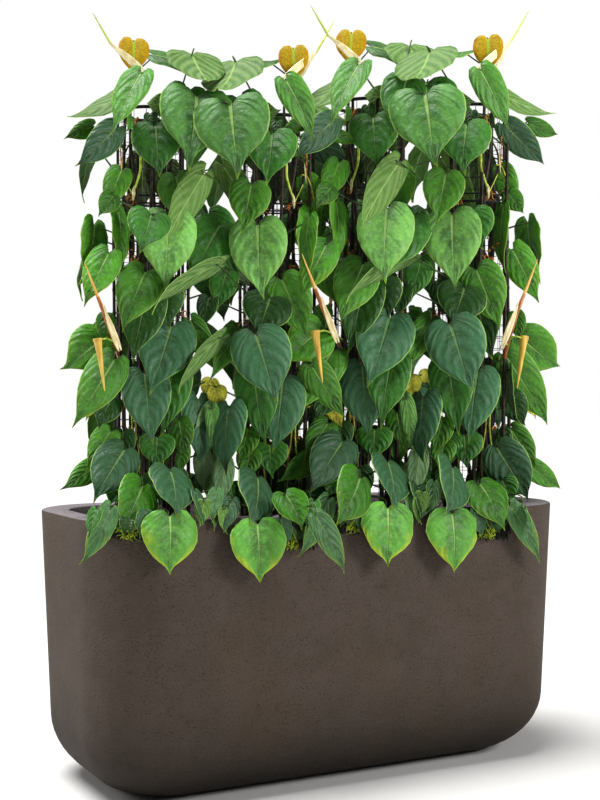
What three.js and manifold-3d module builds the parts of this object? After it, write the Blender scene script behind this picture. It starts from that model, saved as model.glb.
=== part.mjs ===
// Potted heartleaf philodendron: four climbing plants, each on a wire column, in one trough planter.
// Millimetres, +Z up. The origin is the middle of the planter's base, on the floor.
// +X runs along the planter, and its long front faces -Y.
import * as THREE from "three";
import Module from "manifold-3d";

const wasm = await Module();
wasm.setup();

// Driving dimensions
const PLANTER = {
  length: 1000,
  depth: 460,
  height: 500,
  cornerRadius: 143,
  baseRadius: 118,
  innerBaseRadius: 70,
  taper: 0.04,
  wall: 46,
  floor: 45,
  cornerSteps: 6,
};
const SOIL_TOP = 470;
const CLEARANCE = 0.4;
// A hole in the soil is deeper by this than what stands in it.
const HOLE_SPARE = 2;
// Every second upright of a column is a leg in the soil, and the others end at the hang height above it.
const COLUMN = {
  radius: 65,
  wire: 2.4,
  hoopWire: 3.4,
  uprights: 6,
  height: 800,
  buried: 62,
  hang: 45,
};
const COLUMN_RINGS = [400, 800];
// A vine stands on this ring, turns by the twist over the column's height, and above the column leans
// inwards by the lean for each millimetre. It runs straight below the straight height.
const VINE = {
  ring: 76,
  radius: 3.8,
  tipRadius: 2.3,
  buried: 60,
  twist: 18,
  lean: 0.4,
  straight: 20,
  middle: 420,
};
const BLADE_THICKNESS = 1.3;
// The rise of a blade's midrib as a share of its length, and the fall of its edges as a share of its width.
const BLADE_ARCH = 0.22;
const BLADE_CUP = 0.34;
const PETIOLE_RADIUS = 1.7;
// A leaf keeps this far from what stands already.
const LEAF_SPARE = 0.8;
// Leaves wider than these take the outline of that name, and the rest take the tiny one.
const LARGE_WIDTH = 84;
const SMALL_WIDTH = 50;
// Behind each column hang leaves on both sides of a bearing, from the lowest to the highest.
const BACK = { leaves: 9, bearing: 208, lowest: 130, highest: 820 };
// A petiole starts on one of the nearest vines, lower than its neck by this share of its reach.
const NEAREST_VINES = 3;
const PETIOLE_DROP = 0.3;
const LOWEST_ROOT = 28;
const BELOW_TOP = 8;
// Over the rim, a petiole whose neck is lower than this bows this far over the rim's top.
const RIM_ARCH = 60;
const RIM_BOW = 22;
// How far a leaf is tried nearer and farther, in turn, until it is clear of what stands already.
const MOVES = [0, 9, -9, 18, -18, 27, -27, 38, -38, 50, -50, 64, -64, 80, -80, -100, -120];
// A leaf that finds no room at its full size is tried smaller, and at last lower and to a side.
const SIZES = [1, 0.88, 0.76, 0.64];
const SLIDES = [
  [0, 0],
  [24, 12],
  [-24, 12],
  [28, -24],
  [-28, -24],
  [0, -60],
];
const TOUCH_VOLUME = 0.001;

// The row is looked at from its front left. The plants look the same size from there, so each one is
// a little larger than its left neighbour, and the leaves below are placed as they look from there.
const VIEW = { turn: THREE.MathUtils.degToRad(28.3), distance: 2566, height: 699 };
const PLANT_DISTANCE = 2600;
// How fast the foliage recedes towards the right of a plant, for each millimetre across it.
const RECEDE = 0.69;

// Where the four plants stand in the planter, how far the base of each lies above the soil, which hand it
// grows, as every second plant is a mirror image, and how far out its side needle and bud stand.
const PLANTS = [
  { name: "a", x: -326, y: 0, lift: 24, hand: -1, fore: 20 },
  { name: "b", x: -62, y: 0, lift: -2, hand: 1, fore: -60 },
  { name: "c", x: 145, y: 0, lift: 21, hand: -1, fore: 40 },
  { name: "d", x: 374, y: -37, lift: 3, hand: 1, fore: 30 },
];

// Six vines climb the outside of each column: the bearing of each from the viewer, turning to the right,
// and the height of its top. The one that carries the young growth grows taller.
const VINES = [
  { bearing: -102, top: 700 },
  { bearing: -42, top: 830 },
  { bearing: 3, top: 815 },
  { bearing: 52, top: 830 },
  { bearing: 100, top: 740 },
  { bearing: 165, top: 640 },
];
const CROWN_TOP = 880;
// The vine that carries the young growth, for each hand.
const CROWN_VINE = { right: 3, left: 1 };

const COLOURS = {
  planter: "#57504b",
  soil: "#2c231c",
  wire: "#1a1c19",
  leaf: "#3f7a38",
  ochre: "#c79c14",
  cream: "#e3d3a0",
  lime: "#b9c93b",
  brown: "#b8651e",
  bud: "#c9a53a",
};

// A leaf of the left-handed list: its neck, where the petiole joins, and its tip, each as across, up
// and out, then its width, and the turn of the blade about its midrib in degrees.
// Across is measured from the plant's axis, up from its base, and out from the row towards the viewer.
const leaf = (neck, tip, wide, turn = 0) => ({ neck, tip, wide, turn });
// A leaf that hangs over the front rim: its outs are measured from the planter's front face.
const rimLeaf = (neck, tip, wide, turn = 0) => ({ neck, tip, wide, turn, overRim: true });

const LEAVES = [
  // crown
  leaf([-84, 919, 70], [-120, 862, 165], 122, 225),
  leaf([-8, 918, 60], [-128, 866, 105], 104, 76),
  leaf([-76, 846, 92], [-46, 740, 112], 90),
  leaf([-93, 834, 140], [-75, 687, 178], 141),
  leaf([19, 881, 135], [75, 762, 155], 84, -22),
  leaf([40, 850, 74], [168, 792, 64], 60, 125),
  leaf([-10, 775, 100], [-19, 674, 128], 98),
  leaf([69, 772, 104], [148, 694, 98], 70, 8),
  leaf([114, 776, 64], [174, 752, 52], 36),
  // upper half
  leaf([58, 686, 66], [90, 604, 78], 52),
  leaf([74, 636, 84], [105, 596, 92], 42),
  leaf([-51, 674, 112], [-70, 576, 138], 88),
  leaf([-38, 593, 134], [-32, 445, 168], 110),
  leaf([-2, 598, 106], [20, 522, 124], 84),
  leaf([64, 604, 98], [66, 478, 104], 64, 58),
  leaf([113, 578, 54], [138, 454, 66], 84, 50),
  leaf([83, 522, 92], [134, 416, 104], 66, -8),
  leaf([11, 482, 118], [59, 366, 146], 88),
  leaf([-14, 446, 96], [-40, 370, 112], 84),
  leaf([6, 444, 90], [38, 302, 112], 88),
  // lower half
  leaf([-42, 374, 128], [-1, 238, 162], 114),
  leaf([96, 350, 48], [175, 285, 42], 92),
  leaf([72, 308, 80], [156, 173, 92], 80),
  leaf([12, 279, 114], [-4, 138, 152], 96),
  leaf([-46, 296, 100], [-25, 152, 124], 84),
  leaf([78, 230, 72], [106, 170, 84], 56),
  leaf([76, 284, 98], [96, 172, 106], 44, 68),
  leaf([80, 164, 84], [130, 86, 96], 54),
  leaf([104, 246, 34], [130, 186, 40], 36),
  leaf([-58, 186, 96], [-72, 116, 112], 52),
  leaf([-14, 152, 98], [-11, 86, 122], 70),
  leaf([-54, 140, 82], [-64, 80, 94], 50),
  leaf([110, 96, 62], [180, 46, 62], 46),
  leaf([52, 127, 122], [116, 25, 150], 88),
  leaf([62, 62, 140], [84, 14, 156], 52),
  // side that reaches towards the left neighbour
  leaf([-147, 694, 88], [-221, 562, 134], 80, 160),
  leaf([-116, 592, 74], [-178, 466, 104], 92),
  leaf([-120, 512, 92], [-255, 421, 142], 52, 122),
  leaf([-102, 496, 34], [-122, 420, 44], 56),
  leaf([-82, 384, 62], [-134, 280, 76], 50),
  leaf([-115, 366, 84], [-201, 254, 134], 52, 120),
  leaf([-96, 228, 78], [-100, 94, 102], 84, 34),
  leaf([-114, 236, 62], [-166, 184, 76], 42, 150),
  leaf([-104, 120, 72], [-116, 28, 92], 42, 180),
  // over the rim
  rimLeaf([-39, -6, 16], [-36, -122, 26], 124),
  rimLeaf([80, 8, 14], [138, -103, 20], 74),
  rimLeaf([17, 55, -30], [64, -38, 20], 88),
  rimLeaf([-39, 87, -66], [-51, -6, 18], 90),
];

// The coloured young growth of each plant, in the same measures as the leaves. A start is a height on the
// vine that carries it, and radii go from the start to the end.
const OCHRE_LEAF = leaf([33, 944, 52], [35, 873, 66], 60);
const TOP_SHEATH = { to: [81, 943, 60], radii: [2, 6.5, 2.6] };
const TOP_NEEDLE = { to: [115, 1002, 60], radii: [1.9, 0.7] };
const SIDE_NEEDLE = { start: 306, bend: [86, 384, 122], to: [132, 504, 128], radii: [4, 3.4, 0.8] };
const SIDE_SHEATH = { to: [92, 418, 134], radii: [2.4, 4, 0.8] };
const BUD = {
  start: 330,
  over: [84, 350, 118],
  top: [105, 346, 122],
  tip: [91, 246, 122],
  stalk: 1.7,
  radii: [8, 0.9],
};

// Repeatable random numbers between 0 and 1.
function seededDraw(seed) {
  let state = seed;
  return () => {
    state = (state * 1664525 + 1013904223) % 4294967296;
    return state / 4294967296;
  };
}

// Solids

function solidOf(points, triangles) {
  const mesh = new wasm.Mesh({
    numProp: 3,
    vertProperties: new Float32Array(points.flatMap((p) => p.toArray())),
    triVerts: new Uint32Array(triangles.flat()),
  });
  return new wasm.Manifold(mesh);
}

function meshOf(name, solid, colour, roughness, metalness = 0) {
  const { numProp, vertProperties, triVerts } = solid.getMesh();
  const positions = new Float32Array((vertProperties.length / numProp) * 3);
  for (let i = 0; i < positions.length / 3; i += 1) {
    positions.set(vertProperties.subarray(i * numProp, i * numProp + 3), i * 3);
  }
  const geometry = new THREE.BufferGeometry();
  geometry.setAttribute("position", new THREE.BufferAttribute(positions, 3));
  geometry.setIndex(new THREE.BufferAttribute(triVerts, 1));
  geometry.computeVertexNormals();
  const mesh = new THREE.Mesh(
    geometry,
    new THREE.MeshStandardMaterial({ color: colour, roughness, metalness }),
  );
  mesh.name = name;
  return mesh;
}

// A closed skin over rings of equally many points, each ring anticlockwise seen against the way they go.
function loft(rings) {
  const sides = rings[0].length;
  const points = rings.flat();
  const triangles = [];
  for (let i = 1; i + 1 < sides; i += 1) {
    const last = (rings.length - 1) * sides;
    triangles.push([0, i + 1, i], [last, last + i, last + i + 1]);
  }
  for (let r = 0; r + 1 < rings.length; r += 1) {
    for (let i = 0; i < sides; i += 1) {
      const a = r * sides + i;
      const b = r * sides + ((i + 1) % sides);
      triangles.push([a, b, b + sides], [a, b + sides, a + sides]);
    }
  }
  return solidOf(points, triangles);
}

// A bar with few sides through the given points, with a radius at each, grown by a spare thickness.
function bar(path, radii, sides = 4, spare = 0) {
  const last = path.length - 1;
  const rings = path.map((bend, i) => {
    const ahead = path[Math.min(i + 1, last)].clone().sub(path[Math.max(i - 1, 0)]).normalize();
    const end = i === 0 ? -spare : i === last ? spare : 0;
    const point = bend.clone().addScaledVector(ahead, end);
    const side = Math.abs(ahead.y) > 0.9 ? new THREE.Vector3(0, 0, 1) : new THREE.Vector3(0, 1, 0);
    const u = side.clone().cross(ahead).normalize();
    const v = ahead.clone().cross(u);
    return Array.from({ length: sides }, (_, k) => {
      const angle = (2 * Math.PI * (k + 0.5)) / sides;
      return point
        .clone()
        .addScaledVector(u, (radii[i] + spare) * Math.cos(angle))
        .addScaledVector(v, (radii[i] + spare) * Math.sin(angle));
    });
  });
  return loft(rings);
}

// A flat ring of wire about the Z axis.
function hoop(radius, height, wire, corners = 10, sides = 3) {
  const points = [];
  const triangles = [];
  for (let i = 0; i < corners; i += 1) {
    const turn = (2 * Math.PI * i) / corners;
    for (let k = 0; k < sides; k += 1) {
      const angle = (2 * Math.PI * k) / sides;
      const reach = radius + wire * Math.cos(angle);
      points.push(
        new THREE.Vector3(reach * Math.cos(turn), reach * Math.sin(turn), height + wire * Math.sin(angle)),
      );
      const a = i * sides + k;
      const b = i * sides + ((k + 1) % sides);
      const c = ((i + 1) % corners) * sides + k;
      const d = ((i + 1) % corners) * sides + ((k + 1) % sides);
      triangles.push([a, c, d], [a, d, b]);
    }
  }
  return solidOf(points, triangles);
}

// Planter and soil

// A rectangle with round corners, anticlockwise from above.
function roundedRing(halfLength, halfDepth, radius, height) {
  const centres = [
    [1, 1, 0],
    [-1, 1, 90],
    [-1, -1, 180],
    [1, -1, 270],
  ];
  return centres.flatMap(([sx, sy, start]) =>
    Array.from({ length: PLANTER.cornerSteps + 1 }, (_, i) => {
      const angle = THREE.MathUtils.degToRad(start + (90 * i) / PLANTER.cornerSteps);
      return new THREE.Vector3(
        sx * (halfLength - radius) + radius * Math.cos(angle),
        sy * (halfDepth - radius) + radius * Math.sin(angle),
        height,
      );
    }),
  );
}

// The outline of the planter at a height, drawn in by a further inset.
function planterRing(height, inset) {
  const drawnIn = PLANTER.taper * (PLANTER.height - height) + inset;
  return roundedRing(
    PLANTER.length / 2 - drawnIn,
    PLANTER.depth / 2 - drawnIn,
    PLANTER.cornerRadius - drawnIn / 2,
    height,
  );
}

function curvedFoot(floorHeight, radius, wallInset, steps) {
  return Array.from({ length: steps + 1 }, (_, i) => {
    const angle = (Math.PI / 2) * (i / steps);
    const height = floorHeight + radius * (1 - Math.cos(angle));
    return planterRing(height, wallInset + radius * (1 - Math.sin(angle)));
  });
}

function planterSolid() {
  const outside = [...curvedFoot(0, PLANTER.baseRadius, 0, 5), planterRing(PLANTER.height, 0)];
  const inside = [
    ...curvedFoot(PLANTER.floor, PLANTER.innerBaseRadius, PLANTER.wall, 3),
    planterRing(PLANTER.height, PLANTER.wall),
  ];
  return loft([...outside, ...inside.reverse()]);
}

function soilSolid(standing) {
  const inset = PLANTER.wall + CLEARANCE;
  const block = loft([
    ...curvedFoot(PLANTER.floor + CLEARANCE, PLANTER.innerBaseRadius, inset, 3),
    planterRing(SOIL_TOP, inset),
  ]);
  return standing.reduce((soil, hole) => soil.subtract(hole), block);
}

// Plants

// The frame of a plant: x across, y away from the viewer, z up, from its base.
function plantFrame(plant) {
  const distance = VIEW.distance + plant.x * Math.sin(VIEW.turn) + plant.y * Math.cos(VIEW.turn);
  const size = distance / PLANT_DISTANCE;
  const base = SOIL_TOP + plant.lift;
  const matrix = new THREE.Matrix4().compose(
    new THREE.Vector3(plant.x, plant.y, base),
    new THREE.Quaternion().setFromAxisAngle(new THREE.Vector3(0, 0, 1), -VIEW.turn),
    new THREE.Vector3(plant.hand * size, size, size),
  );
  const aside = plant.x * Math.cos(VIEW.turn) - plant.y * Math.sin(VIEW.turn);
  const eye = new THREE.Vector3(
    (-plant.hand * aside) / size,
    -PLANT_DISTANCE,
    (VIEW.height - base) / size,
  );
  const crown = plant.hand > 0 ? CROWN_VINE.right : CROWN_VINE.left;
  const vines = VINES.map((vine, i) => (i === crown ? { ...vine, top: CROWN_TOP } : vine));
  return { ...plant, size, matrix, eye, vines, crown };
}

// How far behind the plant's axis a point lies that is seen at across, this far out of the planter's front.
function awayFromFront(plant, across, out) {
  const sine = plant.hand * Math.sin(VIEW.turn);
  const front = (PLANTER.depth / 2 + plant.y) / plant.size;
  const slope = Math.cos(VIEW.turn) - (sine * (across - plant.eye.x)) / PLANT_DISTANCE;
  return (sine * across - front - out) / slope;
}

// The place, in the plant's frame, of a point given by how it looks: across, up and out.
function seenAt(plant, [across, up, out], overRim = false) {
  const away = overRim ? awayFromFront(plant, across, out) : plant.hand * across * RECEDE - out;
  const depth = 1 + away / PLANT_DISTANCE;
  return new THREE.Vector3(
    plant.eye.x + (across - plant.eye.x) * depth,
    away,
    plant.eye.z + (up - plant.eye.z) * depth,
  );
}

// The vine's axis at a height.
function vinePoint(plant, vine, height) {
  const share = Math.max(height, 0) / COLUMN.height;
  const turn = THREE.MathUtils.degToRad(vine.bearing + VINE.twist * (share - 0.5));
  const reach = VINE.ring - VINE.lean * Math.max(height - COLUMN.height, 0);
  return new THREE.Vector3(plant.hand * reach * Math.sin(turn), -reach * Math.cos(turn), height);
}

function vineSolid(plant, vine, spare = 0) {
  const foot = vinePoint(plant, vine, VINE.straight).setZ(-VINE.buried - plant.lift / plant.size);
  const bends = [VINE.straight, VINE.middle, COLUMN.height].filter((height) => height < vine.top);
  const path = [foot, ...[...bends, vine.top].map((height) => vinePoint(plant, vine, height))];
  const radii = path.map((_, i) => (i === path.length - 1 ? VINE.tipRadius : VINE.radius));
  return bar(path, radii, 4, spare);
}

// A straight stand-in for the buried end of a vine or an upright, a little larger than what stands in it.
function holeSolid(point, radius, depth, sides) {
  const aboveSoil = 60;
  const path = [point.clone().setZ(-depth), point.clone().setZ(aboveSoil)];
  return bar(path, [radius, radius], sides);
}

function columnSolid() {
  const uprights = Array.from({ length: COLUMN.uprights }, (_, i) => {
    const turn = (2 * Math.PI * i) / COLUMN.uprights;
    const foot = i % 2 === 0 ? -COLUMN.buried : COLUMN.hang;
    const path = [foot, COLUMN.height].map(
      (z) => new THREE.Vector3(COLUMN.radius * Math.cos(turn), COLUMN.radius * Math.sin(turn), z),
    );
    return bar(path, [COLUMN.wire, COLUMN.wire], 3);
  });
  const rings = COLUMN_RINGS.map((height, i) =>
    hoop(COLUMN.radius, height, i === COLUMN_RINGS.length - 1 ? COLUMN.hoopWire : COLUMN.wire),
  );
  return wasm.Manifold.union([...uprights, ...rings]);
}

// Half outlines of a heart-shaped blade from neck to tip: along the blade, and across it, as shares of
// its length and its width.
const LARGE_OUTLINE = [
  [-0.13, 0.21],
  [0.06, 0.48],
  [0.42, 0.48],
  [0.84, 0.13],
];
const SMALL_OUTLINE = [
  [-0.12, 0.27],
  [0.24, 0.51],
  [0.74, 0.21],
];
const TINY_OUTLINE = [
  [-0.08, 0.36],
  [0.5, 0.46],
];

// How far the blade stands out from the flat between its neck and its tip.
function bladeRise(along, across, length, wide) {
  const arch = BLADE_ARCH * length * along * (1 - along);
  const cup = BLADE_CUP * wide * across * across;
  return arch - cup;
}

// A blade with its petiole as one closed solid. Facing is the way its upper side looks, and the petiole
// runs from the back of the neck to its root, by way of the points between.
function leafSolid(shape, spare = 0) {
  const { neck, tip, facing, wide, root, between } = shape;
  const along = tip.clone().sub(neck);
  const length = along.length();
  along.normalize();
  let out = facing.clone().addScaledVector(along, -facing.dot(along)).normalize();
  const first = between.length ? between[0] : root;
  const sense = first.clone().sub(neck).dot(out) > 0 ? -1 : 1;
  out = out.multiplyScalar(sense);
  const across = out.clone().cross(along).normalize();
  const half = BLADE_THICKNESS / 2 + spare;
  const at = (s, t, level) => {
    const rise = sense * bladeRise(s, t, length, wide) + level * half;
    return neck
      .clone()
      .addScaledVector(along, s * length + (s > 0.5 ? spare : -spare))
      .addScaledVector(across, t * (wide + 2 * spare))
      .addScaledVector(out, rise);
  };
  const narrow = wide > SMALL_WIDTH ? SMALL_OUTLINE : TINY_OUTLINE;
  const outline = wide > LARGE_WIDTH ? LARGE_OUTLINE : narrow;
  const count = outline.length;
  const ribs = [0.42];
  // points of one side of the blade: neck, right outline, tip, left outline back to the neck, rib
  const layer = (level) => [
    at(0, 0, level),
    ...outline.map(([s, t]) => at(s, t, level)),
    at(1, 0, level),
    ...outline.map(([s, t]) => at(s, -t, level)).reverse(),
    ...ribs.map((s) => at(s, 0, level)),
  ];
  const front = layer(1);
  const back = layer(-1);
  const rim = 2 * count + 2;
  const rib = rim;
  const right = (i) => i;
  const left = (i) => rim - i;
  const tipPoint = count + 1;
  const faces = [];
  for (const side of [right, left]) {
    const fan = [[0, side(1), side(2)], [0, side(2), rib]];
    for (let i = 2; i < count; i += 1) {
      fan.push([rib, side(i), side(i + 1)]);
    }
    fan.push([rib, side(count), tipPoint]);
    faces.push(...fan.map((f) => (side === right ? f : [f[0], f[2], f[1]])));
  }
  const points = [...front, ...back];
  const shift = front.length;
  const triangles = faces.map(([a, b, c]) => [a, c, b]);
  const rooted = (f) => f.includes(0) && f.includes(rib);
  triangles.push(...faces.filter((f) => !rooted(f)).map((f) => f.map((i) => i + shift)));
  for (let i = 0; i < rim; i += 1) {
    const j = (i + 1) % rim;
    triangles.push([i, j, j + shift], [i, j + shift, i + shift]);
  }
  // the petiole leaves the back from a small triangle just below the neck
  const mix = (a, b, c, wb, wc) =>
    a.clone().multiplyScalar(1 - wb - wc).addScaledVector(b, wb).addScaledVector(c, wc);
  const width = (PETIOLE_RADIUS * 1.8 + spare) / Math.max(wide * outline[1][1], 1);
  const down = (PETIOLE_RADIUS * 3 + spare) / (length * ribs[0]);
  const neckBack = back[0];
  const ribBack = back[rib];
  const footRight = points.push(mix(neckBack, back[right(2)], ribBack, width, down)) - 1;
  const footLeft = points.push(mix(neckBack, back[left(2)], ribBack, width, down)) - 1;
  const n = shift;
  const r = shift + rib;
  triangles.push([n, shift + right(2), footRight], [footRight, shift + right(2), r]);
  triangles.push([n, footLeft, shift + left(2)], [footLeft, r, shift + left(2)]);
  triangles.push([footRight, r, footLeft]);
  // the petiole itself, from that triangle to its root
  let loop = [n, footRight, footLeft];
  const start = loop.reduce((sum, i) => sum.add(points[i]), new THREE.Vector3()).multiplyScalar(1 / 3);
  const lead = first.clone().sub(start).normalize();
  const knuckle = lead.dot(out) > -0.5 ? [start.clone().addScaledVector(out, -4 * PETIOLE_RADIUS)] : [];
  const path = [start, ...knuckle, ...between, root];
  for (let i = 1; i < path.length; i += 1) {
    const ahead = path[i].clone().sub(path[i - 1]).normalize();
    if (i + 1 < path.length) {
      ahead.add(path[i + 1].clone().sub(path[i]).normalize()).normalize();
    }
    const ring = loop.map((corner) => {
      const spoke = points[corner].clone().sub(path[i - 1]);
      spoke.addScaledVector(ahead, -spoke.dot(ahead)).setLength(PETIOLE_RADIUS + spare);
      return points.push(spoke.add(path[i])) - 1;
    });
    for (let k = 0; k < 3; k += 1) {
      const l = (k + 1) % 3;
      triangles.push([loop[k], loop[l], ring[l]], [loop[k], ring[l], ring[k]]);
    }
    loop = ring;
  }
  triangles.push(loop);
  return solidOf(points, triangles);
}

// The leaf's neck, tip and facing in the plant's frame, moved towards or away from the viewer.
function placedLeaf(plant, spec, move = 0, [aside, lift] = [0, 0]) {
  const shift = ([across, up, out]) =>
    seenAt(plant, [across + aside, up + lift, out + move], spec.overRim);
  const neck = shift(spec.neck);
  const tip = shift(spec.tip);
  const along = tip.clone().sub(neck).normalize();
  const facing = spec.overRim
    ? new THREE.Vector3(plant.hand * Math.sin(VIEW.turn), -Math.cos(VIEW.turn), 0)
    : plant.eye.clone().sub(neck).normalize();
  facing.addScaledVector(along, -facing.dot(along)).normalize();
  facing.applyAxisAngle(along, THREE.MathUtils.degToRad(spec.turn));
  return { neck, tip, facing, wide: spec.wide };
}

// A leaf at the back of the plant, on a bearing round its column.
function backLeaf(plant, spec, move) {
  const turn = THREE.MathUtils.degToRad(spec.bearing);
  const radial = new THREE.Vector3(plant.hand * Math.sin(turn), -Math.cos(turn), 0);
  const neck = radial.clone().multiplyScalar(spec.reach + move).setZ(spec.height);
  const tip = radial.clone().multiplyScalar(spec.reach + move + spec.slope * spec.length);
  tip.setZ(spec.height - spec.length);
  const along = tip.clone().sub(neck).normalize();
  const facing = radial.clone().applyAxisAngle(along, THREE.MathUtils.degToRad(spec.turn));
  return { neck, tip, facing, wide: spec.wide };
}

function backLeaves(seed) {
  const draw = seededDraw(seed);
  const between = (low, high) => low + (high - low) * draw();
  return Array.from({ length: BACK.leaves }, (_, i) => {
    const length = between(105, 140);
    const height = THREE.MathUtils.lerp(BACK.lowest, BACK.highest, i / (BACK.leaves - 1));
    return {
      bearing: BACK.bearing + (i % 2 === 0 ? -1 : 1) * between(8, 62),
      height: height + between(-15, 15),
      reach: between(108, 124),
      slope: between(0.15, 0.35),
      length,
      wide: length * between(0.8, 0.92),
      turn: between(-18, 18),
    };
  });
}

// Where the petiole of a leaf starts on a vine, a little lower than the neck.
function petioleRoot(plant, vine, neck) {
  const axis = vinePoint(plant, vine, neck.z);
  const reach = Math.hypot(neck.x - axis.x, neck.y - axis.y);
  const wanted = neck.z - PETIOLE_DROP * reach;
  const height = THREE.MathUtils.clamp(wanted, LOWEST_ROOT, vine.top - BELOW_TOP);
  return vinePoint(plant, vine, height);
}

// Everything that stands so far, in the part's frame, so that what comes later is bent clear of it.
class Standing {
  constructor() {
    this.pieces = [];
  }

  add(node, solid) {
    this.pieces.push({ node, solid, box: solid.boundingBox() });
  }

  isClear(node, solid) {
    const box = solid.boundingBox();
    const apart = (other) =>
      [0, 1, 2].some((i) => other.min[i] > box.max[i] || other.max[i] < box.min[i]);
    return this.pieces.every(
      (piece) =>
        piece.node === node || apart(piece.box) || piece.solid.intersect(solid).volume() < TOUCH_VOLUME,
    );
  }
}

// Every choice of one from each list, the last list changing fastest.
function choices(first, ...rest) {
  const tails = rest.length ? choices(...rest) : [[]];
  return first.flatMap((item) => tails.map((tail) => [item, ...tail]));
}

// The first way of placing a leaf, by its slide, its size, its move and its vine, that keeps it clear of
// the rest.
function growLeaf(plant, spec, place, standing) {
  const nearest = plant.vines.map((vine, index) => ({ vine, index, node: vineNode(plant, index) }));
  const start = place(plant, spec, 0).neck;
  const reach = ({ vine }) => vinePoint(plant, vine, Math.min(start.z, vine.top)).distanceTo(start);
  nearest.sort((a, b) => reach(a) - reach(b));
  const ways = choices(SLIDES, SIZES, MOVES, nearest.slice(0, NEAREST_VINES));
  for (const [slide, size, move, { vine, index, node }] of ways) {
    const shape = place(plant, spec, move, slide);
    shape.tip.lerp(shape.neck, 1 - size);
    shape.wide *= size;
    shape.root = petioleRoot(plant, vine, shape.neck);
    shape.between = spec.overRim && shape.neck.z < RIM_ARCH ? [overRimPoint(plant, shape)] : [];
    const room = leafSolid(shape, LEAF_SPARE).transform(plant.matrix.elements);
    if (standing.isClear(node, room)) {
      const solid = leafSolid(shape);
      standing.add(`${node} leaf`, solid.transform(plant.matrix.elements));
      return { index, solid };
    }
  }
  throw new Error(`no room on plant ${plant.name} for the leaf at ${spec.neck}`);
}

// The top of the bow that takes a petiole over the rim.
function overRimPoint(plant, { neck, root }) {
  const top = (PLANTER.height - SOIL_TOP - plant.lift) / plant.size + RIM_BOW;
  return root.clone().lerp(neck, 0.86).setZ(Math.max(top, neck.z));
}

const vineNode = (plant, index) => `leafy_stem_${plant.name}${index + 1}`;

// What is left of a piece that was cut, without the scraps.
function largestBody(solid) {
  return solid.decompose().sort((a, b) => b.volume() - a.volume())[0];
}

// Young growth in its own colours. Each piece starts inside what carries it, and is cut clear of the
// vine and of the pieces before it.
function youngGrowth(plant) {
  const vine = plant.vines[plant.crown];
  const at = (spot) => seenAt(plant, spot);
  const onVine = (height) => vinePoint(plant, vine, height);

  const ochre = placedLeaf(plant, OCHRE_LEAF);
  ochre.root = onVine(vine.top - 2 * BELOW_TOP);
  ochre.between = [];

  const sheathEnd = at(TOP_SHEATH.to);
  const sheathPath = [onVine(vine.top - BELOW_TOP), onVine(vine.top).lerp(sheathEnd, 0.55), sheathEnd];
  const needleEnd = at(TOP_NEEDLE.to);
  const topNeedlePath = [sheathEnd.clone().lerp(needleEnd, -0.06), needleEnd];

  const fore = ([across, up, out]) => at([across, up, out + plant.fore]);
  const needlePath = [onVine(SIDE_NEEDLE.start), fore(SIDE_NEEDLE.bend), fore(SIDE_NEEDLE.to)];
  const sleeveStart = needlePath[0].clone().lerp(needlePath[1], 0.35);
  const sleeveEnd = fore(SIDE_SHEATH.to);
  const sleevePath = [sleeveStart, sleeveStart.clone().lerp(sleeveEnd, 0.4), sleeveEnd];

  const budTop = fore(BUD.top);
  const stalkPath = [onVine(BUD.start), fore(BUD.over), budTop];
  const stalkRadii = [BUD.stalk, BUD.stalk, BUD.stalk];
  const rollPath = [budTop, fore(BUD.tip)];

  const shapes = {
    top_sheath: (spare) => bar(sheathPath, TOP_SHEATH.radii, 4, spare),
    ochre_leaf: (spare) => leafSolid(ochre, spare),
    top_needle: (spare) => bar(topNeedlePath, TOP_NEEDLE.radii, 3, spare),
    side_needle: (spare) => bar(needlePath, SIDE_NEEDLE.radii, 4, spare),
    side_sheath: (spare) => bar(sleevePath, SIDE_SHEATH.radii, 4, spare),
    leaf_bud: (spare) =>
      bar(stalkPath, stalkRadii, 3, spare).add(bar(rollPath, BUD.radii, 5, spare)),
  };
  let around = vineSolid(plant, vine, CLEARANCE);
  const pieces = {};
  for (const [name, shape] of Object.entries(shapes)) {
    pieces[name] = largestBody(shape(0).subtract(around));
    around = around.add(shape(CLEARANCE));
  }
  return pieces;
}

const YOUNG_COLOURS = {
  ochre_leaf: COLOURS.ochre,
  top_sheath: COLOURS.cream,
  top_needle: COLOURS.lime,
  side_needle: COLOURS.brown,
  side_sheath: COLOURS.cream,
  leaf_bud: COLOURS.bud,
};

// Assembly

const plants = PLANTS.map(plantFrame);
const standing = new Standing();
const inPart = (plant, solid) => solid.transform(plant.matrix.elements);

const column = columnSolid();
const buriedEnds = plants.flatMap((plant) => {
  const depth = VINE.buried + plant.lift / plant.size + HOLE_SPARE;
  const vineHoles = plant.vines.map((vine) =>
    holeSolid(vinePoint(plant, vine, VINE.straight), VINE.radius + CLEARANCE, depth, 4),
  );
  const legHoles = [0, 2, 4].map((i) => {
    const turn = (2 * Math.PI * i) / COLUMN.uprights;
    const leg = new THREE.Vector3(COLUMN.radius * Math.cos(turn), COLUMN.radius * Math.sin(turn), 0);
    return holeSolid(leg, COLUMN.wire + CLEARANCE, COLUMN.buried + HOLE_SPARE, 3);
  });
  return [...vineHoles, ...legHoles].map((hole) => inPart(plant, hole));
});
const planter = planterSolid();
const soil = soilSolid(buriedEnds);
standing.add("planter", planter);
standing.add("soil", soil);

const grown = plants.map((plant) => {
  standing.add(`column_${plant.name}`, inPart(plant, column));
  const stems = plant.vines.map((vine, i) => {
    const solid = vineSolid(plant, vine);
    standing.add(vineNode(plant, i), inPart(plant, solid));
    return [solid];
  });
  return { plant, stems, young: {} };
});
for (const { plant, young } of grown) {
  Object.assign(young, youngGrowth(plant));
  for (const [name, solid] of Object.entries(young)) {
    standing.add(`${name}_${plant.name}`, inPart(plant, solid));
  }
}
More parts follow.
